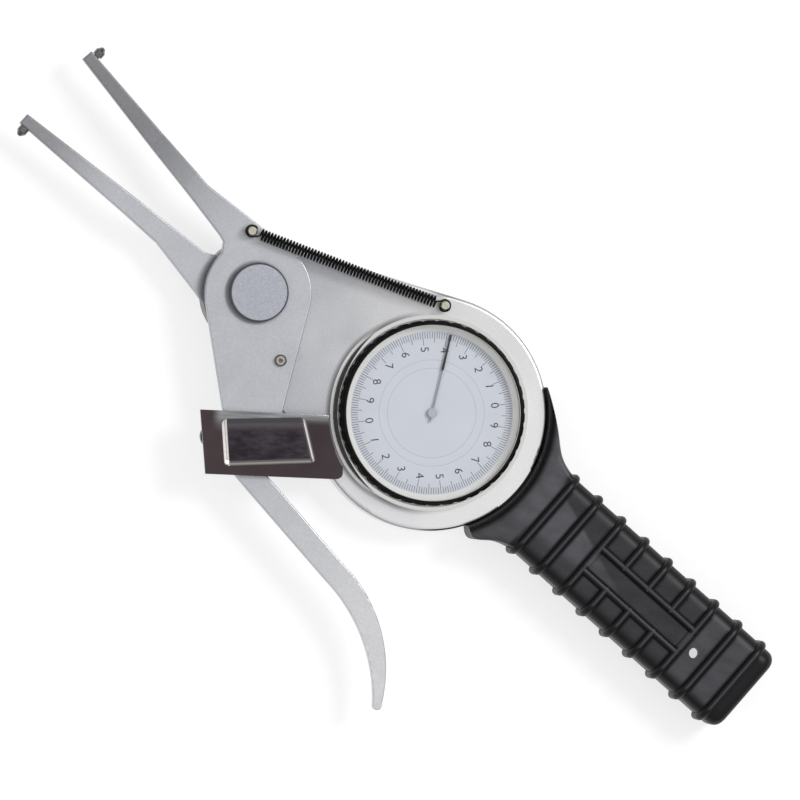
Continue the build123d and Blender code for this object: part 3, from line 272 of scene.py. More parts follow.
class Level:
    """A number or colour on its way to a shader, with the usual arithmetic."""

    def __init__(self, finish, socket):
        self.finish = finish
        self.socket = socket

    __add__ = arithmetic("ADD")
    __radd__ = arithmetic("ADD", swapped=True)
    __sub__ = arithmetic("SUBTRACT")
    __rsub__ = arithmetic("SUBTRACT", swapped=True)
    __mul__ = arithmetic("MULTIPLY")
    __rmul__ = arithmetic("MULTIPLY", swapped=True)
    __truediv__ = arithmetic("DIVIDE")
    __pow__ = arithmetic("POWER")


class Finish:
    """One procedural material, or the sky, while its nodes are added."""

    def __init__(self, name, sky=None):
        self.material = sky or bpy.data.materials.new(name)
        self.material.use_nodes = True
        self.tree = self.material.node_tree
        self.tree.nodes.clear()
        self.place = self.node("ShaderNodeTexCoord", output="Generated" if sky else "Object")
        self.x, self.y, self.z = (
            self.node("ShaderNodeSeparateXYZ", inputs={"Vector": self.place}, output=axis)
            for axis in "XYZ"
        )

    def node(self, kind, settings=None, inputs=None, output=0):
        """Add a node: first its settings, then the values or links of its sockets."""
        made = self.tree.nodes.new(kind)
        for key, value in (settings or {}).items():
            setattr(made, key, value)
        for key, value in (inputs or {}).items():
            if isinstance(value, Level):
                self.tree.links.new(value.socket, made.inputs[key])
            else:
                made.inputs[key].default_value = value
        return None if output is None else Level(self, made.outputs[output])

    def maths(self, operation, first, second=0.0):
        return self.node("ShaderNodeMath", {"operation": operation}, {0: first, 1: second})

    def along(self, direction, start=(0.0, 0.0)):
        """Distance from a start point along a level direction."""
        return (self.x - start[0]) * direction[0] + (self.y - start[1]) * direction[1]

    def radius(self, x=0.0, y=0.0):
        """Distance from an axis along Z through (x, y)."""
        return ((self.x - x) ** 2.0 + (self.y - y) ** 2.0) ** 0.5

    def rays(self, *kinds):
        """1 for rays of these kinds, 0 for all others."""
        masks = [self.node("ShaderNodeLightPath", output=f"Is {kind} Ray") for kind in kinds]
        return sum(masks[1:], masks[0])

    def step(self, value, start, end):
        """Smooth step that is 0 at start and 1 at end."""
        return self.node(
            "ShaderNodeMapRange",
            {"interpolation_type": "SMOOTHSTEP"},
            {"Value": value, "From Min": start, "From Max": end},
        )

    def edge(self, value, start, end):
        """Smooth step of a distance, between places in mm."""
        return self.step(value, start * MM, end * MM)

    def band(self, value, rise, fall):
        """Mask of a distance that rises from 0 to 1 and falls again, between places in mm."""
        return self.edge(value, rise[0], rise[1]) * self.edge(value, fall[1], fall[0])

    def noise(self, size, stretch=(1, 1, 1), turn=0.0, detail=2.0, rough=0.5, where=None):
        """Noise with features of about this size in metres, from 0 to 1."""
        spread = self.node(
            "ShaderNodeMapping",
            {"vector_type": "TEXTURE"},
            {
                "Vector": where or self.place,
                "Rotation": (0.0, 0.0, turn),
                "Scale": tuple(size * s for s in stretch),
            },
        )
        return self.node(
            "ShaderNodeTexNoise",
            inputs={"Vector": spread, "Scale": 1.0, "Detail": detail, "Roughness": rough},
        )

    def mottle(self, fine, cloud, low=0.3, high=0.7):
        """Grain and clouds together, from 0 to 1."""
        return self.step(fine * 0.6 + cloud * 0.4, low, high)

    def blend(self, mask, first, second, kind="MIX"):
        """Colour that goes from first to second as the mask goes from 0 to 1."""
        first, second = (c if isinstance(c, Level) else (*c, 1.0) for c in (first, second))
        return self.node(
            "ShaderNodeMix",
            {"data_type": "RGBA", "blend_type": kind},
            {0: mask, 6: first, 7: second},
            output=2,
        )

    def tinted(self, tone, mask, first, second):
        """Tone times a colour that goes from first to second with the mask."""
        return self.blend(1.0, tone, self.blend(mask, first, second), "MULTIPLY")

    def painted(self, tone, *coats):
        """Tone under coats, each of them a mask and a colour in screen values."""
        for mask, coat in coats:
            tone = self.blend(mask, tone, paint(*coat))
        return tone

    def bump(self, height, distance, strength):
        """Small relief from a height between 0 and 1."""
        return self.node(
            "ShaderNodeBump",
            inputs={"Height": height, "Distance": distance, "Strength": strength},
            output="Normal",
        )

    def surface(self, **values):
        """Close the material with a plain surface shader, by the names of its sockets."""
        inputs = {}
        for key, value in values.items():
            if isinstance(value, tuple):
                value = (*value, 1.0)
            inputs[key.replace("_", " ").title().replace("Ior", "IOR")] = value
        return self.output(self.node("ShaderNodeBsdfPrincipled", inputs=inputs))

    def output(self, shader):
        self.node("ShaderNodeOutputMaterial", inputs={"Surface": shader}, output=None)
        return self.material


def dress(material, *nodes):
    """Give CAD nodes a material."""
    for name in nodes:
        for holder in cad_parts[name].material_slots:
            holder.material = material


def select(*pieces):
    """Select these pieces alone and make the first one active."""
    bpy.ops.object.select_all(action="DESELECT")
    for piece in pieces:
        piece.select_set(True)
    bpy.context.view_layer.objects.active = pieces[0]


def add(operator, **settings):
    """A new piece, made while nothing else is selected."""
    bpy.ops.object.select_all(action="DESELECT")
    operator(**settings)
    return bpy.context.view_layer.objects.active


def to_mesh(piece):
    """Turn a curve or a text into a mesh."""
    select(piece)
    bpy.ops.object.convert(target="MESH")
    return bpy.context.view_layer.objects.active


def freeze(piece):
    """Put a piece's place into its mesh."""
    select(piece)
    bpy.ops.object.transform_apply(location=True, rotation=True, scale=True)


def edit(piece, choose=None):
    """Open a piece for editing, with those vertices selected that choose accepts, or all."""
    select(piece)
    bpy.ops.object.mode_set(mode="EDIT")
    bpy.ops.mesh.select_mode(type="VERT")
    bpy.ops.mesh.select_all(action="DESELECT")
    bpy.ops.object.mode_set(mode="OBJECT")
    for vertex in piece.data.vertices:
        vertex.select = choose is None or choose(vertex.co)
    bpy.ops.object.mode_set(mode="EDIT")


def draw_out(height):
    """Extrude upwards what is selected."""
    bpy.ops.mesh.extrude_region_move(TRANSFORM_OT_translate={"value": (0, 0, height)})


def seal(piece):
    """Turn all faces outwards and end the editing."""
    bpy.ops.mesh.select_all(action="SELECT")
    bpy.ops.mesh.normals_make_consistent(inside=False)
    bpy.ops.object.mode_set(mode="OBJECT")
    return piece


def copy_of(piece, placing):
    """A copy with its own mesh, moved by a matrix."""
    twin = piece.copy()
    twin.data = piece.data.copy()
    bpy.context.scene.collection.objects.link(twin)
    twin.matrix_world = placing @ piece.matrix_world
    return twin


def join(pieces):
    """Join pieces into the first one."""
    select(*pieces)
    bpy.ops.object.join()
    return pieces[0]


def settle(piece, name, material, smooth=40.0):
    """Put a piece's place into its mesh, name it and give it its finish."""
    freeze(piece)
    bpy.ops.object.shade_smooth_by_angle(angle=math.radians(smooth))
    piece.name = name
    piece.data.name = name
    piece.data.materials.clear()
    piece.data.materials.append(material)
    return piece


def modify(piece, kind, **settings):
    """Add a modifier with its settings and apply it."""
    select(piece)
    modifier = piece.modifiers.new(kind.title(), kind)
    for key, value in settings.items():
        setattr(modifier, key, value)
    bpy.ops.object.modifier_apply(modifier=modifier.name)


def flat_piece(outline, low, thickness, rounding=0.0):
    """A level plate over an outline in mm, from the height low upwards."""
    piece = add(bpy.ops.curve.primitive_bezier_curve_add, location=(0, 0, low))
    piece.data.dimensions = "2D"
    piece.data.fill_mode = "BOTH"
    spline = piece.data.splines[0]
    spline.bezier_points.add(len(outline) - len(spline.bezier_points))
    spline.use_cyclic_u = True
    spline.resolution_u = 1
    for knot, (x, y) in zip(spline.bezier_points, outline):
        knot.handle_left_type = knot.handle_right_type = "VECTOR"
        knot.co = (x * MM, y * MM, 0)
    piece = to_mesh(piece)
    freeze(piece)
    edit(piece)
    bpy.ops.mesh.remove_doubles(threshold=0.001 * MM)
    bpy.ops.mesh.dissolve_limited(angle_limit=0.01)
    bpy.ops.mesh.select_all(action="SELECT")
    if rounding:
        bpy.ops.mesh.bevel(offset=rounding, segments=6, affect="VERTICES")
        bpy.ops.mesh.select_all(action="SELECT")
    draw_out(thickness)
    return seal(piece)


def satin_metal(name, tint, rough, grain, brushed=(1, 1, 1)):
    """Satin metal for small pieces: fine grain, faint clouds and a little relief."""
    finish = Finish(name)
    fine = finish.noise(grain, brushed, detail=3.0)
    cloud = finish.noise(9 * MM)
    mottle = finish.mottle(fine, cloud, 0.35, 0.65)
    return finish.surface(
        base_color=finish.blend(mottle, scaled(tint, 0.86), scaled(tint, 1.06)),
        metallic=1.0,
        roughness=rough + (fine - 0.5) * 0.16 + (cloud - 0.5) * 0.08,
        normal=finish.bump(fine, 0.004 * MM, 0.5),
    )


class CALIPER_OT_case(Operator):
    """Satin front and turned ring of the case, with its cover and cover screws"""

    bl_idname = "caliper.case"
    bl_label = "Case"

    def execute(self, context):
        metals = context.scene.caliper_metals
        dress(self.cast_metal(metals), "frame_body")
        cover = satin_metal("cover_metal", paint(178, 179, 182), 0.4, 0.3 * MM, (12, 0.5, 1))
        dress(cover, "back_cover")
        dress(satin_metal("screw_steel", metals.bright, 0.26, 0.1 * MM), "cover_screws")
        return {"FINISHED"}

    def cast_metal(self, metals):
        """Satin casting that is turned round the dial, with painted light on the turned ring and
        painted shade, shadows and reflections beside it.
        """
        finish = Finish("cast_frame")
        edge, band = finish.edge, finish.band
        radius = finish.radius()
        right, up = finish.along(PHOTO_RIGHT), finish.along(PHOTO_UP)
        fine = finish.noise(metals.grain, detail=3.0)
        cloud = finish.noise(14 * MM)
        rings = finish.node("ShaderNodeCombineXYZ", inputs={"X": radius, "Z": finish.z})
        lathe_lines = finish.noise(0.16 * MM, where=rings)
        # Turned ring round the dial: a real turned finish, brightened with painted light towards
        # the lit side
        turned = edge(right + (cloud - 0.5) * 14 * MM, -44, 4)
        turned = finish.maths("MAXIMUM", turned, edge(up, 2, -20) * 0.8)
        # Painted shade over one side of the front
        side_shade = edge(up, -6, 28) * edge(right, -44, -24)
        mottle = finish.maths("MAXIMUM", finish.mottle(fine, cloud), 0.55 * turned)
        tone = finish.blend(turned, metals.satin, metals.turned)
        tone = finish.tinted(tone, side_shade, WHITE, (0.87, 0.87, 0.87))
        tone = finish.blend(edge(finish.x, 118, 158), tone, metals.tips)
        tone = finish.tinted(tone, mottle, (0.86, 0.86, 0.865), WHITE)

        # Painted shade along the front's rounded edge, and painted shadow in the gap beside the
        # handle's collar
        front_edge = edge(finish.z, 9.6, 10.6)
        outline = edge(radius, 37.25, 37.6) * edge(finish.x, 30, 20) * front_edge
        collar_gap_shadow = edge(radius, 37.1, 37.35) * edge(finish.x, -20, -26)
        # Painted soft shadow outside the rim, and painted shade beside the arm's hub
        unlit = edge(right, -15, -29)
        rim_shadow = band(radius - unlit * 1.1 * MM, (31.3, 31.5), (31.6, 33.4))
        rim_shadow = rim_shadow * edge(right, 4, -16)
        hub_shade = edge(finish.radius(*HUB_SHADE), 18.0, 15.6)
        # Painted shadow over the round end of the plate's bracket
        bracket = band(finish.radius(*BRACKET_END), (3.0, 3.4), (6.0, 6.4))
        bracket = bracket * edge(finish.along(BRACKET_WAY, BRACKET_END), 2.4, 2.8)
        # Polished rim round the bezel
        rim = band(radius, (30.0, 30.2), (31.3, 31.5)) * edge(finish.z, 12.1, 12.3)
        # Away from the light the rim shows a painted dark reflection behind its bright inner edge
        rim_dark_reflection = edge(radius + unlit * 1.3 * MM, 31.5, 31.65)
        rim_dark_reflection = rim_dark_reflection * edge(radius, 31.56, 31.5)
        rim_top = edge(finish.z, 13.15, 13.3)
        rim_dark_reflection = rim_dark_reflection * finish.maths("MAXIMUM", rim_top, unlit)
        # Painted highlight on the case just outside the rim, on the side away from the light
        rim_foot_highlight = unlit * band(radius, (31.5, 31.56), (32.3, 32.6))
        tone = finish.painted(
            tone,
            (outline * 0.8, (132, 132, 135)),
            (finish.maths("MAXIMUM", rim_shadow * 0.75, hub_shade * 0.8), (84, 84, 88)),
            (collar_gap_shadow * front_edge, (20, 20, 21)),
            (bracket, (52, 47, 48)),
            (rim, (232, 232, 230)),
            (rim_dark_reflection * 0.95, (24, 23, 21)),
            (rim_foot_highlight * 0.9, (238, 237, 234)),
        )
        relief = (fine * (1.0 - turned) + lathe_lines * turned) * (1.0 - rim)
        rough = 0.4 - 0.08 * turned + (fine - 0.5) * 0.14
        return finish.surface(
            base_color=tone,
            metallic=0.72 + 0.28 * rim,
            roughness=rough * (1.0 - rim) + 0.07 * rim,
            normal=finish.bump(relief, 0.004 * MM, 0.5),
        )


class CALIPER_OT_arm(Operator):
    """Satin arm, the contacts, the pivot and the screw that drives the sector"""

    bl_idname = "caliper.arm"
    bl_label = "Arm and pivot"

    def execute(self, context):
        metals = context.scene.caliper_metals
        steel = self.arm_steel(metals)
        dress(steel, "measuring_arm")
        dress(self.cap_steel(metals), "pivot_axle", "pivot_washer", "pivot_nut")
        self.turn_contacts(satin_metal("contact_steel", paint(122, 121, 122), 0.16, 0.4 * MM))
        self.cut_shutter(steel)
        dress(self.drive_steel(), "drive_screw")
        return {"FINISHED"}

    def arm_steel(self, metals):
        """Satin steel, brighter at the trigger, darker at the tip, with painted shade beside the
        cap.
        """
        finish = Finish("arm_steel")
        fine = finish.noise(metals.grain, detail=3.0)
        cloud = finish.noise(10 * MM)
        x = finish.x + (cloud - 0.5) * 12 * MM
        tone = finish.blend(finish.edge(x, 42, -42), metals.arm, metals.trigger)
        tone = finish.blend(finish.edge(x, 80, 134), tone, scaled(metals.tips, 0.84))
        tone = finish.tinted(tone, finish.mottle(fine, cloud), (0.87, 0.87, 0.875), WHITE)
        cap_shade = finish.edge(finish.radius(*CAP_SHADE), 10.7, 9.4)
        return finish.surface(
            base_color=finish.blend(cap_shade * 0.75, tone, paint(96, 97, 102)),
            metallic=0.72,
            roughness=0.4 + (fine - 0.5) * 0.14,
            normal=finish.bump(fine, 0.004 * MM, 0.5),
        )

    def cap_steel(self, metals):
        """Speckled steel with painted shade round the cap's edge."""
        finish = Finish("cap_steel")
        speck = finish.noise(0.4 * MM, detail=3.0, rough=0.6)
        mottle = finish.step(speck, 0.3, 0.72)
        tone = finish.blend(mottle, scaled(metals.cap, 0.84), scaled(metals.cap, 1.1))
        # Painted shade round the cap's edge
        edge = finish.edge(finish.radius(*PIVOT), 8.7, 9.0)
        return finish.surface(
            base_color=finish.blend(edge, tone, paint(98, 99, 104)),
            metallic=0.75,
            roughness=0.44 + (speck - 0.5) * 0.16,
            normal=finish.bump(speck, 0.008 * MM, 0.5),
        )

    def drive_steel(self):
        """Steel with painted shade in the screw's middle and round its edge."""
        finish = Finish("screw_steel_dark")
        speck = finish.noise(0.6 * MM, detail=3.0)
        from_screw = finish.radius(*DRIVE_SCREW)
        tone = finish.painted(
            finish.blend(speck, paint(150, 146, 132), paint(206, 204, 194)),
            (finish.edge(from_screw, 0.85, 0.6), (118, 114, 102)),
            (finish.edge(from_screw, 1.3, 1.55), (84, 83, 78)),
        )
        return finish.surface(base_color=tone, metallic=1.0, roughness=0.3 + (speck - 0.5) * 0.2)

    def turn_contacts(self, material):
        """Smooth round-nosed contacts, each drawn out from its shank ring by ring."""
        for node, (body, place, lean) in CONTACTS.items():
            contact = add(
                bpy.ops.mesh.primitive_cylinder_add, vertices=40, radius=MM,
                depth=CONTACT_SHANK, location=(0, 0, -CONTACT_SHANK / 2),
            )
            edit(contact, lambda co: co.z > 0)
            for rise, wide in CONTACT_RINGS:
                draw_out(rise * MM)
                bpy.ops.transform.resize(value=(wide, wide, 1), center_override=(0, 0, 0))
            seal(contact)
            placing = Matrix.Translation(Vector(place) * MM)
            placing = placing @ Matrix.Rotation(math.radians(lean), 4, "X")
            contact.matrix_world = placing @ contact.matrix_world
            settle(contact, node + "_turned", material, 30.0)
            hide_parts(node)
            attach(contact, body)

    def cut_shutter(self, material):
        """Thin shutter under the arm, over the end of the slot of the drive screw."""
        shutter = add(
            bpy.ops.mesh.primitive_cylinder_add, vertices=64, radius=3.1 * MM, depth=0.2 * MM
        )
        modify(shutter, "BEVEL", width=0.06 * MM, segments=2)
        shutter.location = SHUTTER
        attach(settle(shutter, "slot_shutter", material, 10.0), "arm")


class CALIPER_OT_movement(Operator):
    """Brass, bronze and steel of the wheelwork inside the case"""

    bl_idname = "caliper.movement"
    bl_label = "Movement"

    def execute(self, context):
        brass = satin_metal("brass", paint(214, 178, 104), 0.3, 0.25 * MM, (6, 0.4, 1))
        dress(brass, "sector_gear", "front_bush", "rear_bush", "movement_bridge", "bridge_pillars")
        dress(bpy.data.materials["screw_steel"], "bridge_screws", "hairspring_stud")
        dress(satin_metal("hairspring_bronze", paint(196, 142, 88), 0.25, 0.2 * MM), "hairspring")
        dress(satin_metal("arbor_steel", paint(190, 191, 194), 0.18, 0.1 * MM), "pointer_arbor")
        dress(satin_metal("retainer_wire", paint(168, 168, 170), 0.3, 0.1 * MM), "bezel_retainer")
        return {"FINISHED"}


class CALIPER_OT_fasteners(Operator):
    """Spring posts, pillars of the plate and screws of the handle"""

    bl_idname = "caliper.fasteners"
    bl_label = "Posts and screws"

    def execute(self, context):
        metals = context.scene.caliper_metals
        spring = context.scene.caliper_spring
        finish = Finish("post_metal")
        patch = finish.noise(0.5 * MM, detail=3.0)
        still, moving = (finish.radius(*end[:2]) for end in (spring.frame_end, spring.arm_end))
        # Painted shade round the edge of each post's head
        head_edge_shade = finish.edge(finish.maths("MINIMUM", still, moving), 1.22, 1.4)
        tone = finish.blend(patch, scaled(metals.post, 0.7), metals.post)
        post = finish.surface(
            base_color=finish.blend(head_edge_shade, tone, paint(120, 117, 107)),
            metallic=1.0,
            roughness=0.22 + (patch - 0.5) * 0.2,
        )
        dress(post, "spring_post_frame", "spring_post_arm")
        dress(bpy.data.materials["screw_steel"], "plate_pillars", "grip_screws")
        return {"FINISHED"}


class CALIPER_OT_bezel(Operator):
    """Black bezel, crystal, gasket and the sloped ring over the dial"""

    bl_idname = "caliper.bezel"
    bl_label = "Bezel and crystal"

    def execute(self, context):
        dress(self.black(context.scene.caliper_trim.bezel), "bezel_ring", "dial_clamp_ring")
        finish = Finish("gasket_rubber")
        soft = finish.noise(0.3 * MM)
        rubber = finish.surface(base_color=(0.02, 0.02, 0.02), roughness=0.7 + (soft - 0.5) * 0.2)
        dress(rubber, "crystal_gasket")
        dress(self.clear(), "crystal")
        flange = context.scene.caliper_dial.flange
        finish = Finish("flange_cream")
        tone = finish.blend(finish.noise(5 * MM), scaled(flange, 0.93), flange)
        cream = finish.surface(base_color=tone, roughness=0.38, coat_weight=0.2)
        dress(cream, "dial_flange")
        return {"FINISHED"}

    def black(self, black):
        """Black finish with a thin bare line on the lip's inner edge."""
        finish = Finish("bezel_black")
        cloud = finish.noise(3 * MM, detail=3.0)
        tone = finish.blend(finish.step(cloud, 0.45, 0.75), black, scaled(black, 2.0))
        bare = finish.edge(finish.radius(), 28.2, 28.12) * finish.edge(finish.z, 18, 18.2)
        wall = finish.edge(finish.z, 17.5, 17.1)
        return finish.surface(
            base_color=finish.blend(bare, tone, paint(204, 202, 190)),
            metallic=bare,
            roughness=0.3 + (cloud - 0.5) * 0.16 + 0.5 * wall,
            specular_ior_level=0.12,
            normal=finish.bump(finish.noise(0.25 * MM), 0.003 * MM, 0.4),
        )

    def clear(self):
        """Clear pane whose mirror share grows towards the edge of sight on both faces."""
        finish = Finish("crystal_clear")
        slant = finish.node("ShaderNodeLayerWeight", inputs={"Blend": 0.5}, output="Facing")
        tint = {"Color": (0.985, 0.99, 0.995, 1.0)}
        shaders = {
            0: 0.02 + 0.5 * slant ** 5.0,
            1: finish.node("ShaderNodeBsdfTransparent", inputs=tint),
            2: finish.node("ShaderNodeBsdfGlossy", inputs={"Roughness": 0.03}),
        }
        return finish.output(finish.node("ShaderNodeMixShader", inputs=shaders))


class CALIPER_OT_dial(Operator):
    """Dial face with its printed lines, rings and figures"""

    bl_idname = "caliper.dial"
    bl_label = "Dial"

    def execute(self, context):
        dial = context.scene.caliper_dial
        finish = Finish("dial_white")
        fine = finish.noise(0.2 * MM)
        face = finish.surface(
            base_color=finish.blend(
                finish.noise(12 * MM), scaled(dial.face, 0.95), scaled(dial.face, 1.04)
            ),
            roughness=0.5 + (fine - 0.5) * 0.1,
            normal=finish.bump(fine, 0.002 * MM, 0.3),
        )
        dress(face, "dial_face")
        ink, pale_ink = self.ink("ink", dial.ink), self.ink("pale_ink", dial.pale_ink)
        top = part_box("dial_face")[1].z
        self.print_lines(dial, top, ink)
        self.print_figures(dial, top, ink)
        self.print_rings(top, pale_ink)
        return {"FINISHED"}

    def ink(self, name, tint):
        finish = Finish(name)
        tone = finish.blend(finish.noise(0.4 * MM), tint, scaled(tint, 1.25))
        return finish.surface(base_color=tone, roughness=0.5)

    def print_lines(self, dial, top, ink):
        """One line of each length is made, and copied round the dial."""
        lines = []
        per_figure = dial.divisions // dial.figure_steps
        for kind in ("short", "middle", "long"):
            inner = getattr(dial, kind + "_inner")
            line = add(bpy.ops.mesh.primitive_plane_add, size=1)
            line.scale = (dial.line_outer - inner, dial.line_width, 1)
            line.location = ((dial.line_outer + inner) / 2, 0, top)
            freeze(line)
            edit(line)
            draw_out(INK_RISE)
            seal(line)
            for number in range(dial.divisions):
                place = number % per_figure
                sort = "long" if place == 0 else "middle" if place == per_figure // 2 else "short"
                if sort == kind:
                    turn = dial.zero_angle + number * 2 * math.pi / dial.divisions
                    lines.append(copy_of(line, Matrix.Rotation(turn, 4, "Z")))
            bpy.data.objects.remove(line)
        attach(settle(join(lines), "dial_lines", ink), "bezel")

    def print_figures(self, dial, top, ink):
        """Figures 0 to 9, twice round the dial, all upright the same way."""
        figures = []
        upright = Matrix.Rotation(dial.zero_angle + math.pi / 2, 4, "Z")
        for number in range(dial.figure_steps):
            turn = dial.zero_angle + number * 2 * math.pi / dial.figure_steps
            figure = add(bpy.ops.object.text_add)
            figure.data.body = str(number % 10)
            figure.data.align_x = "CENTER"
            figure.data.align_y = "CENTER"
            figure.data.size = dial.figure_height / FIGURE_SHARE
            figure.data.resolution_u = 5
            figure.data.extrude = INK_RISE / 2
            figure = to_mesh(figure)
            place = Vector((math.cos(turn), math.sin(turn), 0.0)) * dial.figure_radius
            place.z = top + INK_RISE / 2
            figure.matrix_world = Matrix.Translation(place) @ upright
            figures.append(figure)
        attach(settle(join(figures), "dial_figures", ink), "bezel")

    def print_rings(self, top, ink):
        """Two thin pale rings inside the figures."""
        rings = []
        for radius in RING_RADII:
            ring = add(
                bpy.ops.mesh.primitive_circle_add, vertices=160, radius=radius,
                fill_type="NGON", location=(0, 0, top),
            )
            edit(ring)
            bpy.ops.mesh.inset(thickness=RING_WIDTH)
            bpy.ops.mesh.delete(type="FACE")
            bpy.ops.mesh.select_all(action="SELECT")
            draw_out(RING_RISE)
            rings.append(seal(ring))
        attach(settle(join(rings), "dial_rings", ink), "bezel")


class CALIPER_OT_pointer(Operator):
    """Pointer with a black blade and a pale stem"""

    bl_idname = "caliper.pointer"
    bl_label = "Pointer"

    def execute(self, context):
        finish = Finish("pointer_black")
        radius = finish.radius()
        stem = finish.blend(
            finish.edge(radius, 1.9, 1.6), paint(150, 153, 163), paint(196, 199, 210)
        )
        material = finish.surface(
            base_color=finish.blend(finish.edge(radius, 13.6, 14.0), stem, paint(44, 43, 50)),
            roughness=0.42 + (finish.noise(0.2 * MM) - 0.5) * 0.1,
            specular_ior_level=0.2,
        )
        dress(material, "pointer")
        return {"FINISHED"}


class CALIPER_OT_spring(Operator):
    """Long return spring with a hook ring at each post"""

    bl_idname = "caliper.spring"
    bl_label = "Return spring"

    def execute(self, context):
        spring = context.scene.caliper_spring
        first, last = Vector(spring.frame_end), Vector(spring.arm_end)
        wire = add(bpy.ops.curve.primitive_bezier_curve_add)
        wire.data.dimensions = "3D"
        wire.data.resolution_u = 4
        wire.data.bevel_depth = spring.wire / 2
        wire.data.bevel_resolution = 3
        wire.data.use_fill_caps = True
        knots = wire.data.splines[0].bezier_points
        stations = self.stations(spring, first, last)
        knots.add(len(stations) - len(knots))
        for knot, (spot, heading) in zip(knots, stations):
            knot.handle_left_type = knot.handle_right_type = "FREE"
            knot.co = spot
            knot.handle_left = spot - heading
            knot.handle_right = spot + heading
        for knot in (*knots[: len(FRAME_HOOK)], *knots[-len(ARM_HOOK) :]):
            knot.radius = spring.hook_share
        wire = to_mesh(wire)
        finish = Finish("spring_black")
        rub = finish.noise(0.8 * MM, detail=3.0)
        tone = finish.blend(finish.step(rub, 0.5, 0.8), spring.black, scaled(spring.black, 2.5))
        material = finish.surface(
            base_color=tone, roughness=0.42 + (rub - 0.5) * 0.2, specular_ior_level=0.16
        )
        coil = settle(wire, "return_coil", material, 60.0)
        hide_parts("return_spring")
        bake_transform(coil)
        return {"FINISHED"}

    def stations(self, spring, first, last):
        """Points of the wire from hook to hook, each with the reach of its handles."""
        along = (last - first).normalized()
        level = Vector((along.x, along.y, 0.0)).normalized()
        across = Vector((0.0, 0.0, 1.0)).cross(level)
        upward = along.cross(across) + along * math.tan(spring.turn_lean)
        pitch = ((last - first).length - 2 * spring.lead) / spring.turns

        def on_ring(centre, degrees, turning):
            a = math.radians(degrees)
            outward = level * math.cos(a) + across * math.sin(a)
            heading = (across * math.cos(a) - level * math.sin(a)) * turning
            return centre + outward * spring.hook_radius, heading * spring.hook_radius * HOOK_HANDLE

        def on_coil(turns):
            a = math.radians(360 * turns - 90)
            centre = first + along * (spring.lead + pitch * turns)
            spot = centre + (across * math.cos(a) + upward * math.sin(a)) * spring.coil_radius
            heading = (upward * math.cos(a) - across * math.sin(a)) * spring.coil_radius
            return spot, heading * COIL_HANDLE + along * pitch / 12

        stations = [on_ring(first, degrees, 1) for degrees in FRAME_HOOK]
        stations += [on_coil(quarter / 4) for quarter in range(4 * spring.turns + 1)]
        return stations + [on_ring(last, degrees, -1) for degrees in ARM_HOOK]


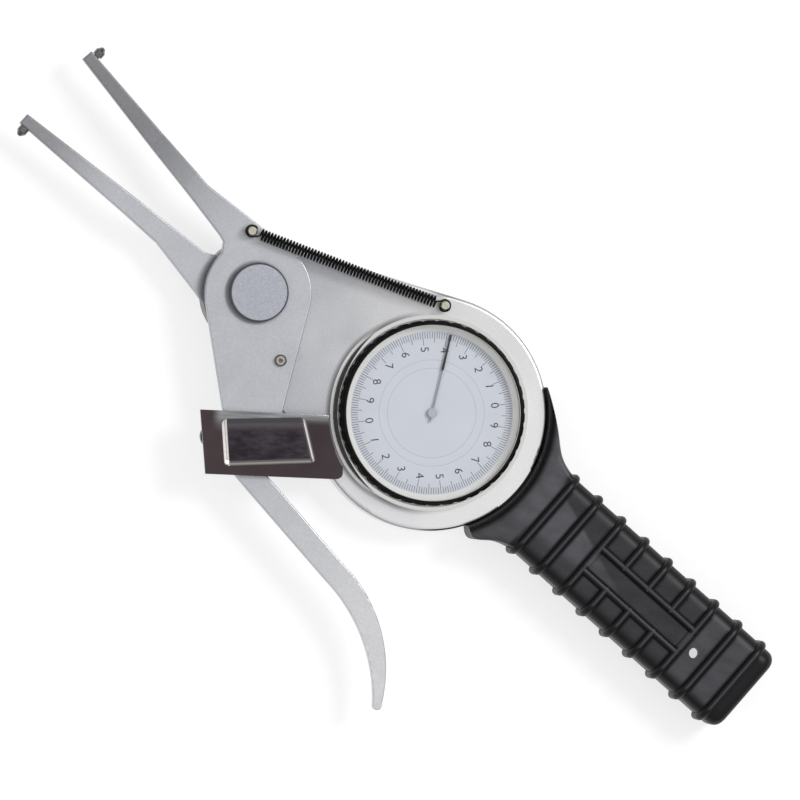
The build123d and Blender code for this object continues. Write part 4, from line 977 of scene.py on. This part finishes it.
class CALIPER_OT_plate(Operator):
    """Dark plate with a sunk panel between sloping walls, left bare"""

    bl_idname = "caliper.plate"
    bl_label = "Plate"

    def execute(self, context):
        trim = context.scene.caliper_trim
        self.press_plate(self.gloss(trim.plate))
        self.lay_panel(self.panel_gloss(trim.panel))
        return {"FINISHED"}

    def gloss(self, plate):
        """Dark gloss that turns lighter grey along the plate's edge by the pivot."""
        finish = Finish("plate_gloss")
        cloud = finish.noise(16 * MM, detail=3.0)
        fine = finish.noise(0.5 * MM, detail=4.0)
        streak = finish.noise(3 * MM, (6, 0.5, 1), math.radians(39), detail=3.0)
        tone = finish.blend(cloud, scaled(plate, 0.62), scaled(plate, 1.5))
        # Lighter grey along the plate's edge by the pivot
        inwards = finish.along(PLATE_INWARDS, PLATE_CORNER) + (streak - 0.5) * 2.4 * MM
        lengthwise = finish.along(PLATE_LENGTHWISE, PLATE_CORNER)
        reach = 2.2 * MM + 2.6 * MM * finish.edge(lengthwise, 27, 24)
        thin = finish.step(inwards / reach, 1.5, 0.3) * finish.edge(lengthwise, 3.5, 7)
        lighter_grey = finish.blend(
            finish.step(streak, 0.3, 0.7), paint(124, 124, 128), paint(174, 174, 178)
        )
        return finish.surface(
            base_color=finish.blend(thin * 0.9, tone, lighter_grey),
            metallic=1.0,
            roughness=0.12 + (fine - 0.5) * 0.06 + 0.16 * thin,
        )

    def press_plate(self, material):
        """Plate with an arc along the dial and a pocket for its panel."""
        low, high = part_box("name_plate")
        outline = [*PLATE_OUTLINE]
        for step in range(ARC_STEPS + 1):
            a = math.radians(ARC_START + ARC_SWEEP * step / ARC_STEPS)
            outline.append((ARC_RADIUS * math.cos(a), ARC_RADIUS * math.sin(a)))
        plate = flat_piece(outline, low.z, high.z - low.z)
        pocket = flat_piece(PANEL_CORNERS, high.z - POCKET_DEPTH, MM, PANEL_ROUNDING)
        modify(plate, "BOOLEAN", operation="DIFFERENCE", object=pocket, solver="EXACT")
        bpy.data.objects.remove(pocket)
        modify(plate, "BEVEL", width=0.15 * MM, segments=2, limit_method="ANGLE")
        settle(plate, "name_plate_pressed", material, 20.0)
        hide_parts("name_plate")
        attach(plate, "frame")

    def lay_panel(self, material):
        """Sunk panel between broad sloping walls, left bare, in the plate's pocket."""
        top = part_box("name_plate")[1].z
        panel = flat_piece(PANEL_CORNERS, top - PANEL_DEPTH, PANEL_DEPTH, PANEL_ROUNDING)
        edit(panel, lambda co: co.z > top - 0.01 * MM)
        bpy.ops.mesh.select_mode(type="FACE")
        for inwards, down in PANEL_STEPS:
            bpy.ops.mesh.inset(thickness=inwards * MM, depth=-down * MM)
        seal(panel)
        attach(settle(panel, "plate_panel", material, 50.0), "frame")

    def panel_gloss(self, dark):
        """Smeared gloss with a painted sheen by the pivot, and painted reflections and shade on the
        sloping walls.
        """
        finish = Finish("plate_panel")
        cloud = finish.noise(7 * MM, detail=3.0)
        smear = finish.noise(1.2 * MM, (3, 1, 1), math.radians(42), detail=4.0, rough=0.6)
        mottle = finish.step(cloud * 0.5 + smear * 0.5, 0.36, 0.66)
        # Distances from the panel's sides
        sides = []
        for first, second in ((3, 0), (1, 2), (2, 3), (0, 1)):
            start, side = PANEL_CORNERS[first], Vector(PANEL_CORNERS[second])
            side = (side - Vector(start)).normalized()
            inwards = finish.along((side.y, -side.x), (start[0] * MM, start[1] * MM))
            sides.append(finish.maths("ABSOLUTE", inwards))
        pivot, trigger, dial, outer = sides
        # Painted sheen on the floor by the pivot's wall, and painted shade on that wall
        pivot_wall_sheen = finish.edge(pivot + (smear - 0.5) * 3 * MM, 4.2, 1.8)
        tone = finish.painted(
            finish.blend(mottle, scaled(dark, 0.75), scaled(dark, 1.7)),
            (pivot_wall_sheen * 0.5, (118, 113, 117)),
            (finish.edge(pivot, 1.7, 1.3), (84, 81, 84)),
        )
        # Each other wall, coloured with painted reflections: its foot, rise and fall of the line on
        # it, and colours of both
        for side, foot, rise, fall, wall, line in (
            (trigger, (1.7, 1.4), (0.2, 0.5), (0.8, 1.1), (112, 104, 104), (164, 158, 156)),
            (dial, (1.7, 1.2), (0.25, 0.4), (0.8, 0.95), (104, 100, 104), (206, 203, 202)),
            (outer, (1.75, 1.55), (0.85, 0.95), (1.05, 1.15), (232, 229, 225), (150, 146, 144)),
        ):
            lit_wall = finish.blend(finish.band(side, rise, fall), paint(*wall), paint(*line))
            tone = finish.blend(finish.edge(side, *foot), tone, lit_wall)
        return finish.surface(base_color=tone, metallic=1.0, roughness=0.16 + (smear - 0.5) * 0.1)


class CALIPER_OT_handle(Operator):
    """Moulded black handle with ribs, two ridges and a blank panel"""

    bl_idname = "caliper.handle"
    bl_label = "Handle"

    def execute(self, context):
        handle = context.scene.caliper_handle
        finish = Finish("grip_black")
        x, y, z, edge = finish.x, finish.y, finish.z, finish.edge
        fine = finish.noise(handle.grain, detail=4.0, rough=0.6)
        patch = finish.noise(6 * MM, (1.5, 0.7, 1), math.radians(24), detail=4.0, rough=0.6)
        # Distance to the nearest rib, and to the nearest ridge of the panel
        rib = finish.maths("PINGPONG", x - handle.first_rib, handle.rib_pitch / 2)
        ribbed = edge(x, -45.5, -47)
        from_middle = finish.maths("ABSOLUTE", y - handle.ridge_middle)
        ridge = finish.maths("ABSOLUTE", from_middle - handle.ridge_reach)
        panel = finish.band(x, (-111, -109.6), (-69.6, -68.2))
        # Flat areas that catch the light, clear of ribs, ridges, sides and case
        flat = 1.0 - ribbed * (1.0 - edge(rib, 1.5, 2.5))
        flat = finish.maths("MAXIMUM", flat, panel * edge(from_middle, 3.4, 2.8))
        flat = flat * (1.0 - panel * (1.0 - edge(ridge, 1.2, 1.9)))
        out = finish.maths("ABSOLUTE", y)
        flat = flat * (1.0 - ribbed * (1.0 - edge(out, 13.4, 10.4)))
        flat = flat * edge(finish.radius(), 39.2, 41.2) * edge(z, 14, 18)
        flat = flat * finish.step(x, handle.last_rib - 2 * MM, handle.last_rib)
        # The light falls on the case end, up to a slanting edge, and on the far end
        sheen = edge(finish.along(SHEEN_WAY, SHEEN_START), -0.9, 0.7)
        sheen = sheen * edge(x, -94, -60)
        sheen = finish.maths("MAXIMUM", sheen, edge(x, -50, -44))
        level = sheen * (1.0 - edge(y, 3.5, 9) * (0.9 - 0.45 * (1.0 - ribbed)))
        level = finish.maths("MAXIMUM", level, 0.5 * edge(x, -106, -112))
        # Painted sheen on the flat areas, broken by patches and grain
        rub = flat * (0.3 + 0.6 * level) * (0.45 + 1.1 * patch) + flat * (fine - 0.5) * 0.3
        # Painted highlights along the tops of ribs and ridges
        rib_highlight = ribbed * edge(rib, 0.55, 0.2)
        ridge_highlight = panel * edge(ridge, 0.5, 0.15)
        line = finish.maths("MAXIMUM", rib_highlight, ridge_highlight) * edge(z, 19.2, 19.6)
        rub = finish.maths("MAXIMUM", rub, line * 0.45)
        material = finish.surface(
            base_color=finish.blend(rub, handle.black, handle.lighter_grey),
            roughness=0.4 + (patch - 0.5) * 0.2,
            specular_ior_level=0.2,
            normal=finish.bump(fine * 0.5 + patch * 0.5, 0.05 * MM, 0.6),
        )
        dress(material, "grip_front", "grip_rear")
        return {"FINISHED"}


class CALIPER_OT_stage(Operator):
    """Pale floor, soft light and the camera of the photograph"""

    bl_idname = "caliper.stage"
    bl_label = "Stage"

    def execute(self, context):
        stage = context.scene.caliper_stage
        target = Vector(stage.target)
        self.lay_floor(stage)
        self.light_sky(context.scene)
        self.hang_lamps(target)
        self.place_camera(context.scene, stage, target)
        context.scene.view_settings.view_transform = "Standard"
        return {"FINISHED"}

    def lay_floor(self, stage):
        """Plain floor that looks white, and glows only for the camera and in mirrors."""
        floor = add(bpy.ops.mesh.primitive_plane_add, size=6, location=(0, 0, CAD_LOW.z))
        floor.name = "floor"
        finish, glow = Finish("floor_pale"), (0.68, 0.68, 0.68)
        seen = finish.rays("Camera", "Glossy", "Transmission")
        finish.surface(
            base_color=finish.blend(finish.noise(0.3) * 0.03, stage.floor, WHITE),
            roughness=0.8,
            emission_color=finish.blend(seen, (0.0, 0.0, 0.0), glow),
            emission_strength=1.0,
        )
        floor.data.materials.append(finish.material)

    def light_sky(self, scene):
        """Sky that is white to the camera, and brighter above for mirrors."""
        sky = Finish("studio", bpy.data.worlds.new("studio"))
        scene.world = sky.material
        seen = sky.rays("Camera", "Transmission")
        mirrored = sky.rays("Glossy")
        high = sky.step(sky.z, 0.0, 0.75)
        unseen = mirrored * (0.34 + 0.63 * high) + (1.0 - mirrored) * (0.42 + 0.2 * high)
        strength = 0.95 * seen + (1.0 - seen) * unseen
        glow = sky.node("ShaderNodeBackground", inputs={"Strength": strength})
        sky.node("ShaderNodeOutputWorld", inputs={"Surface": glow}, output=None)

    def hang_lamps(self, target):
        """Two soft lamps that face the target."""
        for name, (side, up, height, size, power) in LAMPS.items():
            spot = target + PHOTO_RIGHT * side + PHOTO_UP * up + Vector((0, 0, height))
            lamp = add(bpy.ops.object.light_add, type="AREA", location=spot)
            lamp.name = name
            lamp.rotation_euler = (spot - target).to_track_quat("Z", "Y").to_euler()
            lamp.data.size = size
            lamp.data.energy = power

    def place_camera(self, scene, stage, target):
        """Camera above the photograph's middle, tilted towards its left."""
        back = -PHOTO_RIGHT * math.sin(stage.lean) + Vector((0, 0, math.cos(stage.lean)))
        right = PHOTO_RIGHT * math.cos(stage.lean) + Vector((0, 0, math.sin(stage.lean)))
        spot = target + back * stage.distance
        camera = add(bpy.ops.object.camera_add, location=spot)
        camera.name = "photo_camera"
        turn = Matrix((right, back.cross(right), back)).transposed().to_4x4()
        camera.matrix_world = Matrix.Translation(spot) @ turn
        camera.data.sensor_width = 36.0
        camera.data.lens = camera.data.sensor_width * stage.distance / stage.view_width
        camera.data.clip_start = 0.05
        camera.data.clip_end = 20.0
        scene.camera = camera


OPERATORS = (
    CALIPER_OT_case, CALIPER_OT_arm, CALIPER_OT_movement, CALIPER_OT_fasteners,
    CALIPER_OT_bezel, CALIPER_OT_dial, CALIPER_OT_pointer, CALIPER_OT_spring,
    CALIPER_OT_plate, CALIPER_OT_handle, CALIPER_OT_stage,
)
SETTINGS = {
    "caliper_metals": MetalSettings,
    "caliper_dial": DialSettings,
    "caliper_spring": SpringSettings,
    "caliper_handle": HandleSettings,
    "caliper_trim": TrimSettings,
    "caliper_stage": StageSettings,
}


class CALIPER_PT_pieces(Panel):
    """Lists the operators and settings of the caliper"""

    bl_idname = "CALIPER_PT_pieces"
    bl_label = "Inside Dial Caliper"
    bl_space_type = "VIEW_3D"
    bl_region_type = "UI"
    bl_category = "Caliper"

    def draw(self, context):
        for kind in OPERATORS:
            self.layout.operator(kind.bl_idname)
        for name, group in SETTINGS.items():
            box = self.layout.box()
            box.label(text=name.split("_")[1].title())
            for field in group.__annotations__:
                box.prop(getattr(context.scene, name), field)


def register():
    for kind in (*SETTINGS.values(), *OPERATORS, CALIPER_PT_pieces):
        bpy.utils.register_class(kind)
    for name, group in SETTINGS.items():
        setattr(bpy.types.Scene, name, PointerProperty(type=group))


def unregister():
    for name in SETTINGS:
        delattr(bpy.types.Scene, name)
    for kind in reversed((*SETTINGS.values(), *OPERATORS, CALIPER_PT_pieces)):
        bpy.utils.unregister_class(kind)


def main():
    register()
    for kind in OPERATORS:
        group, name = kind.bl_idname.split(".")
        getattr(getattr(bpy.ops, group), name)()


if __name__ == "__main__":
    main()
